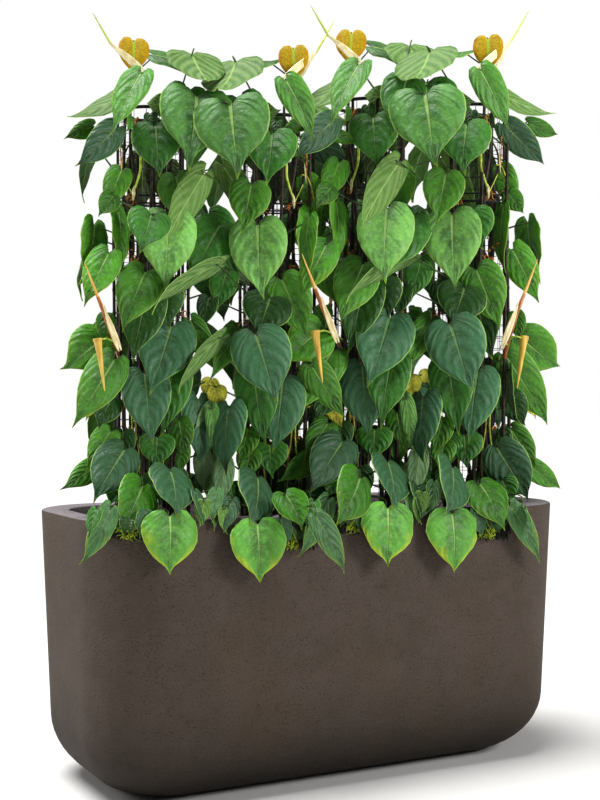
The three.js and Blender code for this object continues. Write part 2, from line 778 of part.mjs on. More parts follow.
// The plant on the right comes first: its neighbours' leaves give way to it.
for (const { plant, stems } of [...grown].reverse()) {
  const specs = [
    ...LEAVES.map((spec) => [spec, placedLeaf]),
    ...backLeaves(plant.x + 1000).map((spec) => [spec, backLeaf]),
  ];
  for (const [spec, place] of specs) {
    const { index, solid } = growLeaf(plant, spec, place, standing);
    stems[index].push(solid);
  }
}

const group = new THREE.Group();
group.add(meshOf("planter", planter, COLOURS.planter, 0.85));
group.add(meshOf("soil", soil, COLOURS.soil, 1));
for (const { plant, stems, young } of grown) {
  const stand = new THREE.Group();
  plant.matrix.decompose(stand.position, stand.quaternion, stand.scale);
  stand.add(meshOf(`column_${plant.name}`, column, COLOURS.wire, 0.5));
  stems.forEach((pieces, i) => {
    const fused = wasm.Manifold.union(pieces);
    stand.add(meshOf(vineNode(plant, i), fused, COLOURS.leaf, 0.5));
  });
  for (const [name, solid] of Object.entries(young)) {
    stand.add(meshOf(`${name}_${plant.name}`, solid, YOUNG_COLOURS[name], 0.6));
  }
  group.add(stand);
}

export default group;
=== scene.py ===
# %% [markdown]
# Potted heartleaf philodendron. Four climbing plants stand in one long fibre-clay trough, each on a
# column of black wire mesh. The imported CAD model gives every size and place, in metres, with +X along
# the trough, -Y out of its long front and +Z up. This script dresses that model: it keeps each leaf
# where the CAD has it, and gives it the fine form, the veins and the finish of the real one.

import math
import random

import bmesh
import bpy
import numpy as np
from mathutils import Matrix, Quaternion, Vector
from mathutils.kdtree import KDTree


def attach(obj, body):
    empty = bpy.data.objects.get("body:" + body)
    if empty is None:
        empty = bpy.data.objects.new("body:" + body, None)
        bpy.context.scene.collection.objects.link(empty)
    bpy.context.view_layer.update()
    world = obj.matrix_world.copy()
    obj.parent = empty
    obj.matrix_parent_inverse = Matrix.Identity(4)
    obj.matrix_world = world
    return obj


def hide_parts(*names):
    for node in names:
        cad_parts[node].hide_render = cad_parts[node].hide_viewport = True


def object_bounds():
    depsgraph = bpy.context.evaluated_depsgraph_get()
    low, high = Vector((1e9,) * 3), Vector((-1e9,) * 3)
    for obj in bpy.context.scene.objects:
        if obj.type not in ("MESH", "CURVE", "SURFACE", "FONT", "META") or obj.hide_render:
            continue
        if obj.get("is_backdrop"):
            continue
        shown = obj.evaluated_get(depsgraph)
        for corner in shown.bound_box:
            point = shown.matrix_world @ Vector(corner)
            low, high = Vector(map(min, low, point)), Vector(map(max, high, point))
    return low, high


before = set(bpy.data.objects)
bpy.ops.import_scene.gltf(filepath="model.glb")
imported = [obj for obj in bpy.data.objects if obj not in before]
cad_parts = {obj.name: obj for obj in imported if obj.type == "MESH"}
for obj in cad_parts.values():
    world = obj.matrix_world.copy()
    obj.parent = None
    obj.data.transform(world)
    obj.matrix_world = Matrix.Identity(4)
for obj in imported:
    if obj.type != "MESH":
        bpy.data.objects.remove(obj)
cad_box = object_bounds()
MM = 0.001
print("nodes in the frame:", len(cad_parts))

# %% [markdown]
# The photograph was taken from the front left, a little above the rim of the trough, with a long lens.
# The camera's place was found from the outline of the trough, so that a point of the model falls on
# the pixel where the photograph has it. The picture is 600 by 800, and a lens of 36 mm covers its
# longer side, so the focal length in pixels gives the lens directly.

# %% Camera
VIEW_TURN = math.radians(28.28)
VIEW_DISTANCE = 2.566
EYE_HEIGHT = 0.6994
AIM_TURN = math.radians(28.06)
AIM_RISE = math.radians(0.135)
FOCAL_PIXELS = 1300.6
PICTURE_HEIGHT = 800
SENSOR_MM = 36
SIGHT = 50

camera_data = bpy.data.cameras.new("studio_camera")
camera_data.sensor_width = SENSOR_MM
camera_data.lens = FOCAL_PIXELS * SENSOR_MM / PICTURE_HEIGHT
camera_data.clip_end = SIGHT
camera = bpy.data.objects.new("studio_camera", camera_data)
bpy.context.scene.collection.objects.link(camera)
camera.location = (
    -math.sin(VIEW_TURN) * VIEW_DISTANCE,
    -math.cos(VIEW_TURN) * VIEW_DISTANCE,
    EYE_HEIGHT,
)
aim = Vector(
    (
        math.sin(AIM_TURN) * math.cos(AIM_RISE),
        math.cos(AIM_TURN) * math.cos(AIM_RISE),
        math.sin(AIM_RISE),
    )
)
camera.rotation_euler = aim.to_track_quat("-Z", "Y").to_euler()
bpy.context.scene.camera = camera
bpy.context.scene.view_settings.view_transform = "Standard"
print("lens", round(camera_data.lens, 2), "mm")

# %% [markdown]
# A material is a small graph of nodes. One function turns a hex colour of the screen into the linear
# numbers that Blender works with. One adds a node with its settings and links: a Math node is asked for
# by its operation, any other by its own name, and a node that is given as an input stands for its first
# live output. So a finish below reads as a short list of steps. The size of a pattern is always given
# in millimetres of the real surface.

# %% Helpers for materials
USUAL = {"Mix": {"data_type": "RGBA"}, "MapRange": {"interpolation_type": "SMOOTHSTEP"}}


def linear(hex_colour):
    """An sRGB hex value as linear red, green, blue and 1."""
    channels = [int(hex_colour[i : i + 2], 16) / 255 for i in (1, 3, 5)]
    return [c / 12.92 if c <= 0.04045 else ((c + 0.055) / 1.055) ** 2.4 for c in channels] + [1.0]


def per_metre(size_mm):
    """The scale at which a pattern repeats every so many millimetres."""
    return 1 / (size_mm * MM)


def wire(tree, source, socket):
    """Links a node or an output to a socket, or sets a plain value there."""
    if isinstance(source, bpy.types.Node):
        source = next(output for output in source.outputs if output.enabled)
    if isinstance(source, bpy.types.NodeSocket):
        tree.links.new(source, socket)
    else:
        socket.default_value = source


def add(material, kind, *inputs, **named):
    """A new node with its inputs in order, or by a name with a capital. The other names are settings."""
    tree = material.node_tree
    node = tree.nodes.new("ShaderNodeMath" if kind.isupper() else f"ShaderNode{kind}")
    settings = {"operation": kind} if kind.isupper() else dict(USUAL.get(kind, {}))
    settings.update({name: value for name, value in named.items() if name.islower()})
    for name, value in settings.items():
        setattr(node, name, value)
    live = [socket for socket in node.inputs if socket.enabled]
    by_name = [(node.inputs[name], value) for name, value in named.items() if name not in settings]
    for socket, source in [*zip(live, inputs), *by_name]:
        wire(tree, source, socket)
    return node


def surface(material, values):
    """Sets or links sockets of a material's shader."""
    shader = material.node_tree.nodes["Principled BSDF"]
    for name, value in values.items():
        wire(material.node_tree, value, shader.inputs[name])


def new_material(name, roughness=0.5, ior=1.5, specular=0.5, coat=0.0):
    """A material with one Principled shader, whose plain values are set on its own sockets."""
    material = bpy.data.materials.new(name)
    material.use_nodes = True
    plain = {"Roughness": roughness, "IOR": ior, "Specular IOR Level": specular, "Coat Weight": coat}
    surface(material, plain)
    return material


def coloured_relief(material, colour, height, strength, relief_mm):
    """Links a colour to the shader, and bumps its surface by a height that is worth some millimetres."""
    bump = add(material, "Bump", Height=height, Strength=strength, Distance=relief_mm * MM)
    surface(material, {"Base Color": colour, "Normal": bump})


print("linear mid grey:", round(linear("#808080")[0], 3))

# %% [markdown]
# A studio for a product shot: white paper below, a white backdrop all around, which shows but lights
# little, and soft light mostly from above. The overhead light is a sun with a very wide angle, so it is
# as soft as a sheet of silk, and it lights the paper evenly out to the horizon. The paper is just grey
# enough to come out as white as the backdrop. Two soft lamps, behind on the left and in front on the
# right, brighten the end and the front of the trough, and leave the round corner between them darker.

# %% Floor and light
FLOOR_SIDE = 400
BACKDROP = 1.0
ROOM = 0.11
PAPER = "#c4c3c1"
LAMPS = [
    # name, kind, place, target, strength, settings
    ("overhead", "SUN", (-0.9, 0.2, 4.0), (0, 0, 0.8), 6.4, {"angle": math.radians(36)}),
    ("lamp_left", "AREA", (-2.7, 1.6, 1.5), (-0.4, 0.0, 0.4), 38, {"size": 1.4}),
    ("lamp_front", "AREA", (1.9, -2.6, 1.9), (0.1, 0.0, 0.6), 101, {"size": 1.2}),
]

floor_bm = bmesh.new()
bmesh.ops.create_grid(floor_bm, x_segments=1, y_segments=1, size=FLOOR_SIDE / 2)
floor_mesh = bpy.data.meshes.new("floor")
floor_bm.to_mesh(floor_mesh)
floor_bm.free()
floor = bpy.data.objects.new("floor", floor_mesh)
bpy.context.scene.collection.objects.link(floor)
paper = new_material("studio_paper", 0.95, specular=0.1)
surface(paper, {"Base Color": linear(PAPER)})
floor_mesh.materials.append(paper)
floor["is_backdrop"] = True

world = bpy.data.worlds.new("studio")
bpy.context.scene.world = world
world.use_nodes = True
background = world.node_tree.nodes["Background"]
background.inputs["Color"].default_value = (1.0, 1.0, 1.0, 1.0)
is_camera_ray = add(world, "LightPath")
glow = add(world, "MapRange", is_camera_ray, 0.0, 1.0, ROOM, BACKDROP)
wire(world.node_tree, glow, background.inputs["Strength"])


def soft_light(name, kind, place, target, strength, settings):
    """A light of one kind at a place, turned to a target."""
    data = bpy.data.lights.new(name, kind)
    data.energy = strength
    for key, value in settings.items():
        setattr(data, key, value)
    lamp = bpy.data.objects.new(name, data)
    bpy.context.scene.collection.objects.link(lamp)
    lamp.location = place
    lamp.rotation_euler = (Vector(target) - Vector(place)).to_track_quat("-Z", "Y").to_euler()


for lamp_facts in LAMPS:
    soft_light(*lamp_facts)

# %% [markdown]
# Fibre clay is cement with glass fibre, cast in a mould and left matte. It gives the eye a dull
# brown-grey, cloudy over a few centimetres and warmer in patches a hand wide, with fine pores. Towards
# the bottom it is painted darker, nearly black at the foot, as painted shade. What faces up and the
# inner walls are a pale mauve grey, partly dust and partly painted light. The pores are small dark pits,
# five or six millimetres apart and a little flattened, that also dent the surface. The real ones are a
# bit finer, but would not show at this distance.

# %% Fibre clay
CLAY = {
    "light": "#473d36",
    "dark": "#40372f",
    "warm": "#453726",
    "foot": "#16110c",
    "dust": "#7d777b",
    "pore": "#140f0a",
}
CLOUD_MM, WARM_PATCH_MM = 62.5, 142.9
PORE_MM, PORE_PATCH_MM, GRAIN_MM = 5.556, 22.22, 5.882
FOOT_SHADE_UP_TO = 0.22
FLATTENED = (1.0, 1.0, 1.9)


def clay_dust_and_painted_light(material, place):
    """How much dust and painted light the clay gets: on what faces up, and on walls that face the middle
    of the trough.
    """
    normal = add(material, "NewGeometry").outputs["Normal"]
    upwards = add(material, "MapRange", add(material, "SeparateXYZ", normal).outputs["Z"], 0.5, 1.0)
    level = add(material, "VectorMath", place, (1.0, 1.0, 0.0), operation="MULTIPLY")
    outwards = add(material, "VectorMath", level, normal, operation="DOT_PRODUCT")
    inside = add(material, "MapRange", outwards, -0.02, -0.08, 0.0, 0.7)
    return add(material, "MAXIMUM", add(material, "MULTIPLY", upwards, 0.75), inside)


def fibre_clay():
    material = new_material("cast_fibre_clay", 0.7, specular=0.15)
    place = add(material, "TexCoord").outputs["Object"]
    clouds = add(material, "TexNoise", place, per_metre(CLOUD_MM), 6.0, 0.65)
    cloudy = add(material, "MapRange", clouds, 0.3, 0.7)
    colour = add(material, "Mix", cloudy, linear(CLAY["dark"]), linear(CLAY["light"]))
    patches = add(material, "TexNoise", place, per_metre(WARM_PATCH_MM), 4.0)
    warm = add(material, "MapRange", patches, 0.48, 0.7, 0.0, 0.35)
    colour = add(material, "Mix", warm, colour, linear(CLAY["warm"]))
    height = add(material, "SeparateXYZ", place).outputs["Z"]
    # Painted shade: the clay gets darker towards the bottom, nearly black at the foot.
    painted_foot_shade = add(material, "MapRange", height, FOOT_SHADE_UP_TO, -0.02)
    colour = add(material, "Mix", add(material, "MULTIPLY", painted_foot_shade, 0.85), colour, linear(CLAY["foot"]))
    # Dust and painted light: faces that point up and the inner walls are lightened to a mauve grey.
    colour = add(material, "Mix", clay_dust_and_painted_light(material, place), colour, linear(CLAY["dust"]))
    flat = add(material, "Mapping", place, Scale=FLATTENED)
    pores = add(material, "TexVoronoi", flat, per_metre(PORE_MM))
    few = add(material, "TexNoise", place, per_metre(PORE_PATCH_MM), 3.0)
    pit = add(material, "MapRange", pores, 0.45, 0.15)
    pit = add(material, "MULTIPLY", pit, add(material, "MapRange", few, 0.33, 0.64, 0.25, 1.0))
    colour = add(material, "Mix", add(material, "MULTIPLY", pit, 0.6), colour, linear(CLAY["pore"]))
    grain = add(material, "TexNoise", flat, per_metre(GRAIN_MM), 4.0)
    relief = add(material, "MULTIPLY", grain, 1.6)
    relief = add(material, "SUBTRACT", relief, add(material, "MULTIPLY", pit, 0.6))
    coloured_relief(material, colour, relief, 0.7, 1.8)
    return material


clay = fibre_clay()
print("clay nodes:", len(clay.node_tree.nodes))

# %% [markdown]
# The trough is one casting: straight walls that lean out a little, round corners, a foot that curves
# under, and a wide flat rim. It could be a box with bevelled edges, but its corners change their
# radius as they go round the foot. So it grows from one ring, a circle pulled to a rectangle with
# round corners. The ring is extruded again and again, up the outside, over the rim and down the
# inside, and each vertex keeps its number on the ring, which says where it belongs.

# %% Trough
TROUGH = {
    "length": 1.0,
    "depth": 0.46,
    "height": 0.5,
    "corner": 0.143,
    "foot": 0.118,
    "inner_foot": 0.07,
    "taper": 0.04,
    "wall": 0.046,
    "floor": 0.045,
    "lip": 0.004,
}
OUTER_LEVELS, INNER_LEVELS = (0.22, 0.34, 0.46), (0.4, 0.2)
CORNER_STEPS = 14
FOOT_STEPS, INNER_FOOT_STEPS = 12, 5
LIP_BEVEL = 0.3


def ring_place(number, half_length, half_depth, radius):
    """Where a numbered vertex lies on a rectangle with round corners."""
    corner, step = divmod(number, CORNER_STEPS)
    angle = math.radians(90 * (corner + step / (CORNER_STEPS - 1)))
    sx = 1 if corner in (0, 3) else -1
    sy = 1 if corner in (0, 1) else -1
    return (
        sx * (half_length - radius) + radius * math.cos(angle),
        sy * (half_depth - radius) + radius * math.sin(angle),
    )


def curved_foot(bottom, radius, inset, steps):
    """Levels and insets of the rings round a quarter circle."""
    turns = [math.pi / 2 * i / steps for i in range(steps + 1)]
    return [(bottom + radius * (1 - math.cos(t)), inset + radius * (1 - math.sin(t))) for t in turns]


def trough_piece():
    """The casting, extruded ring by ring."""
    wall, lip, height = TROUGH["wall"], TROUGH["lip"], TROUGH["height"]
    bevel = lip * LIP_BEVEL
    rings = curved_foot(0, TROUGH["foot"], 0, FOOT_STEPS)
    rings += [(level, 0) for level in OUTER_LEVELS]
    rings += [(height - lip, 0), (height - bevel, bevel), (height, lip)]
    rings += [(height, wall - lip), (height - bevel, wall - bevel), (height - lip, wall)]
    rings += [(level, wall) for level in INNER_LEVELS]
    rings += curved_foot(TROUGH["floor"], TROUGH["inner_foot"], wall, INNER_FOOT_STEPS)[::-1]
    bm = bmesh.new()
    number = bm.verts.layers.int.new("number")
    made = bmesh.ops.create_circle(bm, cap_ends=False, radius=1.0, segments=4 * CORNER_STEPS)
    ring = made["verts"]
    for i, vert in enumerate(ring):
        vert[number] = i
    edges = list({edge for vert in ring for edge in vert.link_edges})
    bmesh.ops.contextual_create(bm, geom=edges)
    for i, (level, inset) in enumerate(rings):
        if i:
            drawn = bmesh.ops.extrude_edge_only(bm, edges=edges)["geom"]
            ring = [item for item in drawn if isinstance(item, bmesh.types.BMVert)]
            edges = [item for item in drawn if isinstance(item, bmesh.types.BMEdge)]
        drawn_in = TROUGH["taper"] * (height - level) + inset
        for vert in ring:
            x, y = ring_place(
                vert[number],
                TROUGH["length"] / 2 - drawn_in,
                TROUGH["depth"] / 2 - drawn_in,
                TROUGH["corner"] - drawn_in / 2,
            )
            vert.co = (x, y, level)
    bmesh.ops.contextual_create(bm, geom=edges)
    bmesh.ops.recalc_face_normals(bm, faces=bm.faces)
    return bm


def finished(name, bm, materials, nodes=(), smooth_degrees=180):
    """A bmesh as a piece of the object that rides on its one body and stands for CAD nodes."""
    mesh = bpy.data.meshes.new(name)
    bm.to_mesh(mesh)
    bm.free()
    for material in materials:
        mesh.materials.append(material)
    mesh.polygons.foreach_set("use_smooth", [True] * len(mesh.polygons))
    if smooth_degrees < 180:
        mesh.set_sharp_from_angle(angle=math.radians(smooth_degrees))
    piece = bpy.data.objects.new(name, mesh)
    bpy.context.scene.collection.objects.link(piece)
    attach(piece, "root")
    if nodes:
        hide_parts(*nodes)
    return piece


trough = finished("fibre_clay_trough", trough_piece(), [clay], ["planter"], 35)
print("trough faces:", len(trough.data.polygons))

# %% [markdown]
# The plants are a row of four, seen from the camera's side. Each has a frame of its own, with x
# across, y away from the camera and z up from its base, and every second one is a mirror image. The
# list below says where each leaf is seen, in millimetres of a plant: its neck, its tip, its width,
# the turn of its blade about the midrib, and its tone. Their depth was chosen so that no two touch.

# %% Where the plants stand
SOIL_TOP = 470
ROW_TURN = math.radians(28.3)
ROW_DISTANCE = 2566
ROW_HEIGHT = 699
PLANT_DISTANCE = 2600
RECEDE = 0.69
PLANTS = {
    "a": {"x": -326, "y": 0, "lift": 24, "hand": -1, "fore": 20},
    "b": {"x": -62, "y": 0, "lift": -2, "hand": 1, "fore": -60},
    "c": {"x": 145, "y": 0, "lift": 21, "hand": -1, "fore": 40},
    "d": {"x": 374, "y": -37, "lift": 3, "hand": 1, "fore": 30},
}
VINES = [(-102, 700), (-42, 830), (3, 815), (52, 830), (100, 740), (165, 640)]
CROWN_TOP = 880
COLUMN_RADIUS = 65
COLUMN_HEIGHT = 800
VINE_RING = 76
VINE_TWIST = 18
VINE_LEAN = 0.4
VINE_BURIED = 60
CROWN_VINES = {1: 3, -1: 1}


class Plant:
    """One plant of the row, with the matrix from its frame to the object's, in metres."""

    def __init__(self, name, x, y, lift, hand, fore):
        self.name, self.hand, self.fore, self.y = name, hand, fore, y
        distance = ROW_DISTANCE + x * math.sin(ROW_TURN) + y * math.cos(ROW_TURN)
        self.size = distance / PLANT_DISTANCE
        self.lift = lift / self.size
        base = SOIL_TOP + lift
        aside = x * math.cos(ROW_TURN) - y * math.sin(ROW_TURN)
        self.eye = Vector((-hand * aside / self.size, -PLANT_DISTANCE, (ROW_HEIGHT - base) / self.size))
        turn = Matrix.Rotation(-ROW_TURN, 4, "Z")
        stretch = Matrix.Diagonal((hand * self.size, self.size, self.size, 1))
        self.matrix = Matrix.Scale(MM, 4) @ Matrix.Translation((x, y, base)) @ turn @ stretch
        self.crown = CROWN_VINES[hand]
        self.tops = [CROWN_TOP if i == self.crown else top for i, (_, top) in enumerate(VINES)]

    def vine(self, index, height):
        """The axis of a vine at a height."""
        share = max(height, 0) / COLUMN_HEIGHT
        turn = math.radians(VINES[index][0] + VINE_TWIST * (share - 0.5))
        reach = VINE_RING - VINE_LEAN * max(height - COLUMN_HEIGHT, 0)
        return Vector((self.hand * reach * math.sin(turn), -reach * math.cos(turn), height))

    def crown_vine(self, height):
        """The axis of the vine that reaches the crown."""
        return self.vine(self.crown, height)

    def ahead(self, spot):
        """A point of the side growth, which stands further out on some plants."""
        across, up, out = spot
        return self.seen((across, up, out + self.fore))

    def seen(self, spot, over_rim=False):
        """The point that is seen at across and up, this far out."""
        across, up, out = spot
        if over_rim:
            sine = self.hand * math.sin(ROW_TURN)
            front = (TROUGH["depth"] / 2 / MM + self.y) / self.size
            slope = math.cos(ROW_TURN) - sine * (across - self.eye.x) / PLANT_DISTANCE
            away = (sine * across - front - out) / slope
        else:
            away = self.hand * across * RECEDE - out
        depth = 1 + away / PLANT_DISTANCE
        return Vector(
            (self.eye.x + (across - self.eye.x) * depth, away, self.eye.z + (up - self.eye.z) * depth)
        )


plants = {name: Plant(name, **facts) for name, facts in PLANTS.items()}
print("plant sizes:", [round(p.size, 3) for p in plants.values()])

# %% [markdown]
# A tone is the colour of a blade's skin, how clearly its veins show, how strong its grey-blue bloom
# (with a painted sheen) and its yellowing are, and how square its shoulders are: old shaded leaves are
# dark with a bloom, young ones light and round, and those seen from below have pale bands along their
# veins. Two tones are lighter copies of green and of pale, painted light for leaves that get little of
# it, and the lime of young leaves is brightened with painted light.

# %% The leaves of a plant
TONES = {
    # name: colour, veins, bloom and painted sheen, yellowing, squareness
    "deep": ("#1a3f0c", 0.1, 0.05, 0.0, 0.6),
    "dark": ("#2e6419", 0.1, 0.1, 0.0, 0.8),
    "blue": ("#30603a", 0.12, 0.7, 0.0, 0.4),
    "round": ("#1f4424", 0.12, 0.4, 0.0, 0.1),
    "main": ("#42732a", 0.25, 0.35, 0.05, 1.0),
    "mid": ("#40781a", 0.16, 0.1, 0.1, 0.5),
    "green": ("#2c5f08", 0.14, 0.0, 0.1, 0.3),
    "light": ("#6ea84a", 0.25, 0.4, 0.1, 0.4),
    "aging": ("#54922e", 0.3, 0.2, 1.0, 0.1),
    "grey": ("#3c6434", 0.12, 0.3, 0.3, 0.2),
    "band": ("#436a30", 1.0, 0.2, 0.1, 0.4),
    "pale": ("#4a7228", 0.7, 0.5, 0.0, 0.3),
    # A lighter copy of pale, painted light for leaves that hang in shade.
    "silver": ("#6c9468", 0.9, 0.6, 0.0, 0.3),
    # A lighter copy of green, painted light for leaves turned from the light.
    "fresh": ("#3f7c12", 0.2, 0.1, 0.2, 0.4),
    "crown": ("#4c862a", 0.3, 0.2, 0.1, 0.4),
    # The lime of young leaves, brightened with painted light.
    "lime": ("#ece84e", 0.1, 0.0, 0.3, 0.1),
    "shade": ("#1f3608", 0.5, 0.0, 0.2, 0.4),
}
LEAVES = [
    # crown
    ((-84, 919, 70), (-120, 862, 165), 122, 225, "band"),
    ((-8, 918, 60), (-128, 866, 105), 104, 76, "band"),
    ((-76, 846, 92), (-46, 740, 112), 90, 0, "dark"),
    ((-93, 834, 140), (-75, 687, 178), 141, 0, "main"),
    ((19, 881, 135), (75, 762, 155), 64, -22, "crown"),
    ((40, 850, 74), (168, 792, 64), 60, 125, "band"),
    ((-10, 775, 100), (-19, 674, 128), 98, 0, "dark"),
    ((69, 772, 104), (148, 694, 98), 60, 8, "round"),
    ((114, 776, 64), (174, 752, 52), 36, 0, "green"),
    # upper half
    ((58, 686, 66), (90, 604, 78), 52, 0, "fresh"),
    ((74, 636, 84), (105, 596, 92), 42, 0, "green"),
    ((-51, 674, 112), (-70, 576, 138), 80, 0, "mid"),
    ((-38, 593, 134), (-32, 445, 168), 110, 0, "light"),
    ((-2, 598, 106), (20, 522, 124), 84, 0, "dark"),
    ((64, 604, 98), (66, 478, 104), 64, 58, "fresh"),
    ((113, 578, 54), (138, 454, 66), 84, 50, "fresh"),
    ((83, 522, 92), (134, 416, 104), 66, -8, "fresh"),
    ((11, 482, 118), (59, 366, 146), 88, 0, "mid"),
    ((-14, 446, 96), (-40, 370, 112), 98, 0, "deep"),
    ((6, 444, 90), (38, 302, 112), 88, 0, "deep"),
    # lower half
    ((-42, 374, 128), (-1, 238, 162), 114, 0, "blue"),
    ((96, 350, 48), (175, 285, 42), 92, 0, "fresh"),
    ((72, 308, 80), (156, 173, 92), 80, 0, "mid"),
    ((12, 279, 114), (-4, 138, 152), 96, 0, "blue"),
    ((-46, 296, 100), (-25, 152, 124), 84, 0, "dark"),
    ((78, 230, 72), (106, 170, 84), 56, 0, "deep"),
    ((76, 284, 98), (96, 172, 106), 44, 68, "band"),
    ((80, 164, 84), (130, 86, 96), 54, 0, "mid"),
    ((104, 246, 34), (130, 186, 40), 36, 0, "lime"),
    ((-58, 186, 96), (-72, 116, 112), 52, 0, "green"),
    ((-14, 152, 98), (-11, 86, 122), 70, 0, "dark"),
    ((-54, 140, 82), (-64, 80, 94), 50, 0, "mid"),
    ((110, 96, 62), (180, 46, 62), 46, 0, "mid"),
    ((52, 127, 122), (116, 25, 150), 88, 0, "round"),
    ((62, 62, 140), (84, 14, 156), 52, 0, "dark"),
    # side that reaches towards the left neighbour
    ((-147, 694, 88), (-221, 562, 134), 62, 160, "pale"),
    ((-116, 592, 74), (-178, 466, 104), 92, 0, "dark"),
    ((-120, 512, 92), (-255, 421, 142), 52, 122, "band"),
    ((-102, 496, 34), (-122, 420, 44), 56, 0, "dark"),
    ((-82, 384, 62), (-134, 280, 76), 50, 0, "mid"),
    ((-115, 366, 84), (-201, 254, 134), 52, 120, "band"),
    ((-96, 228, 78), (-100, 94, 102), 84, 34, "blue"),
    ((-114, 236, 62), (-166, 184, 76), 42, 150, "silver"),
    ((-104, 120, 72), (-116, 28, 92), 42, 180, "silver"),
]
# Over the rim, outs are measured from the front of the trough.
RIM_LEAVES = [
    ((-39, -6, 16), (-36, -122, 26), 110, 0, "aging"),
    ((80, 8, 14), (138, -103, 20), 46, 0, "grey"),
    ((17, 55, -30), (64, -38, 20), 88, 0, "green"),
    ((-39, 87, -66), (-51, -6, 18), 92, 0, "round"),
]
print("leaves of a plant:", len(LEAVES) + len(RIM_LEAVES))

# %% [markdown]
# The CAD moved some leaves a little, so that they stand clear of each other. This script puts each
# leaf where the CAD has it. Instead of a long list of results, it goes through the same small steps,
# and keeps the step at which a corner of a CAD solid lies on the expected tip. The solid that owns the
# corner also names the vine that the leaf grows from.

# %% Where each leaf ended up
SLIDES = [(0, 0), (24, 12), (-24, 12), (28, -24), (-28, -24), (0, -60)]
SIZES = [1, 0.88, 0.76, 0.64]
MOVES = [0, 9, -9, 18, -18, 27, -27, 38, -38, 50, -50, 64, -64, 80, -80, -100, -120]
CAD_BLADE = 1.3
FOUND_WITHIN = 0.00005
BACK_LEAVES = 9
BACK_BEARING = 208
BACK_LOW, BACK_HIGH = 130, 820
BACK_TONES = ("dark", "mid", "blue", "green")
BACK_SEED = 1000
DRAW_FACTOR, DRAW_STEP, DRAW_RANGE = 1664525, 1013904223, 2**32


class Leaf:
    """A blade's neck, tip, facing and width in its plant's frame, and how it looks."""

    def __init__(self, neck, tip, facing, wide, tone, over_rim=False):
        self.neck, self.tip, self.wide, self.tone, self.over_rim = neck, tip, wide, tone, over_rim
        self.along = (tip - neck).normalized()
        self.out = (facing - self.along * facing.dot(self.along)).normalized()
        self.length = (tip - neck).length
        self.vine = None

    def shrunk(self, size):
        tip = self.neck + (self.tip - self.neck) * size
        return Leaf(self.neck, tip, self.out, self.wide * size, self.tone, self.over_rim)


def placed_leaf(plant, spec, move=0, slide=(0, 0), over_rim=False):
    """A leaf of the list, moved outwards and slid across, with its blade turned about its midrib."""
    neck_spot, tip_spot, wide, turn, tone = spec
    spots = [(x + slide[0], up + slide[1], out + move) for x, up, out in (neck_spot, tip_spot)]
    neck, tip = (plant.seen(spot, over_rim) for spot in spots)
    if over_rim:
        facing = Vector((plant.hand * math.sin(ROW_TURN), -math.cos(ROW_TURN), 0))
    else:
        facing = plant.eye - neck
    leaf = Leaf(neck, tip, facing, wide, tone, over_rim)
    leaf.out.rotate(Quaternion(leaf.along, math.radians(turn)))
    return leaf


def back_leaf(plant, spec, move=0):
    """A leaf that hangs down from its neck at a bearing, a height and a reach."""
    turn = math.radians(spec["bearing"])
    radial = Vector((plant.hand * math.sin(turn), -math.cos(turn), 0))
    neck = radial * (spec["reach"] + move)
    tip = radial * (spec["reach"] + move + spec["slope"] * spec["length"])
    neck.z, tip.z = spec["height"], spec["height"] - spec["length"]
    along = (tip - neck).normalized()
    facing = radial.copy()
    facing.rotate(Quaternion(along, math.radians(spec["turn"])))
    return Leaf(neck, tip, facing, spec["wide"], spec["tone"])


def back_leaves(seed):
    """The leaves on the far side of a plant, spread by a simple rule that always draws the same."""
    state = seed

    def between(low, high):
        nonlocal state
        state = (state * DRAW_FACTOR + DRAW_STEP) % DRAW_RANGE
        return low + (high - low) * state / DRAW_RANGE

    specs = []
    for i in range(BACK_LEAVES):
        length = between(105, 140)
        specs.append(
            {
                "length": length,
                "bearing": BACK_BEARING + (-1 if i % 2 == 0 else 1) * between(8, 62),
                "height": BACK_LOW + (BACK_HIGH - BACK_LOW) * i / (BACK_LEAVES - 1) + between(-15, 15),
                "reach": between(108, 124),
                "slope": between(0.15, 0.35),
                "wide": length * between(0.8, 0.92),
                "turn": between(-18, 18),
                "tone": BACK_TONES[i % len(BACK_TONES)],
            }
        )
    return specs


def corners_of(plant):
    """Every corner of a plant's CAD stems in a search tree, and the number of the stem that owns it."""
    owners = []
    for index in range(len(VINES)):
        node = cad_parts[f"leafy_stem_{plant.name}{index + 1}"]
        owners += [(vertex.co, index) for vertex in node.data.vertices]
    tree = KDTree(len(owners))
    for i, (co, _) in enumerate(owners):
        tree.insert(co, i)
    tree.balance()
    return tree, [index for _, index in owners]


def settled(plant, place, corners):
    """The leaf as the CAD has it, from the first step whose tip is a corner of a CAD solid."""
    tree, owners = corners
    for slide in SLIDES:
        for move in MOVES:
            whole = place(move, slide)
            for size in SIZES:
                tip = whole.neck + (whole.tip - whole.neck) * size
                sides = [plant.matrix @ (tip + whole.out * CAD_BLADE / 2 * s) for s in (1, -1)]
                found = [tree.find(side) for side in sides]
                if all(distance < FOUND_WITHIN for _, _, distance in found):
                    leaf = whole.shrunk(size)
                    leaf.vine = owners[found[0][1]]
                    return leaf
    return None


grown = {}
for plant in plants.values():
    corners = corners_of(plant)
    places = [lambda m, s, spec=spec: placed_leaf(plant, spec, m, s) for spec in LEAVES]
    places += [lambda m, s, spec=spec: placed_leaf(plant, spec, m, s, True) for spec in RIM_LEAVES]
    seed = round(plant.matrix.translation.x / MM) + BACK_SEED
    places += [lambda m, s, spec=spec: back_leaf(plant, spec, m) for spec in back_leaves(seed)]
    leaves = [settled(plant, place, corners) for place in places]
    grown[plant.name] = [leaf for leaf in leaves if leaf]
    print("plant", plant.name, "leaves found:", len(grown[plant.name]), "of", len(leaves))

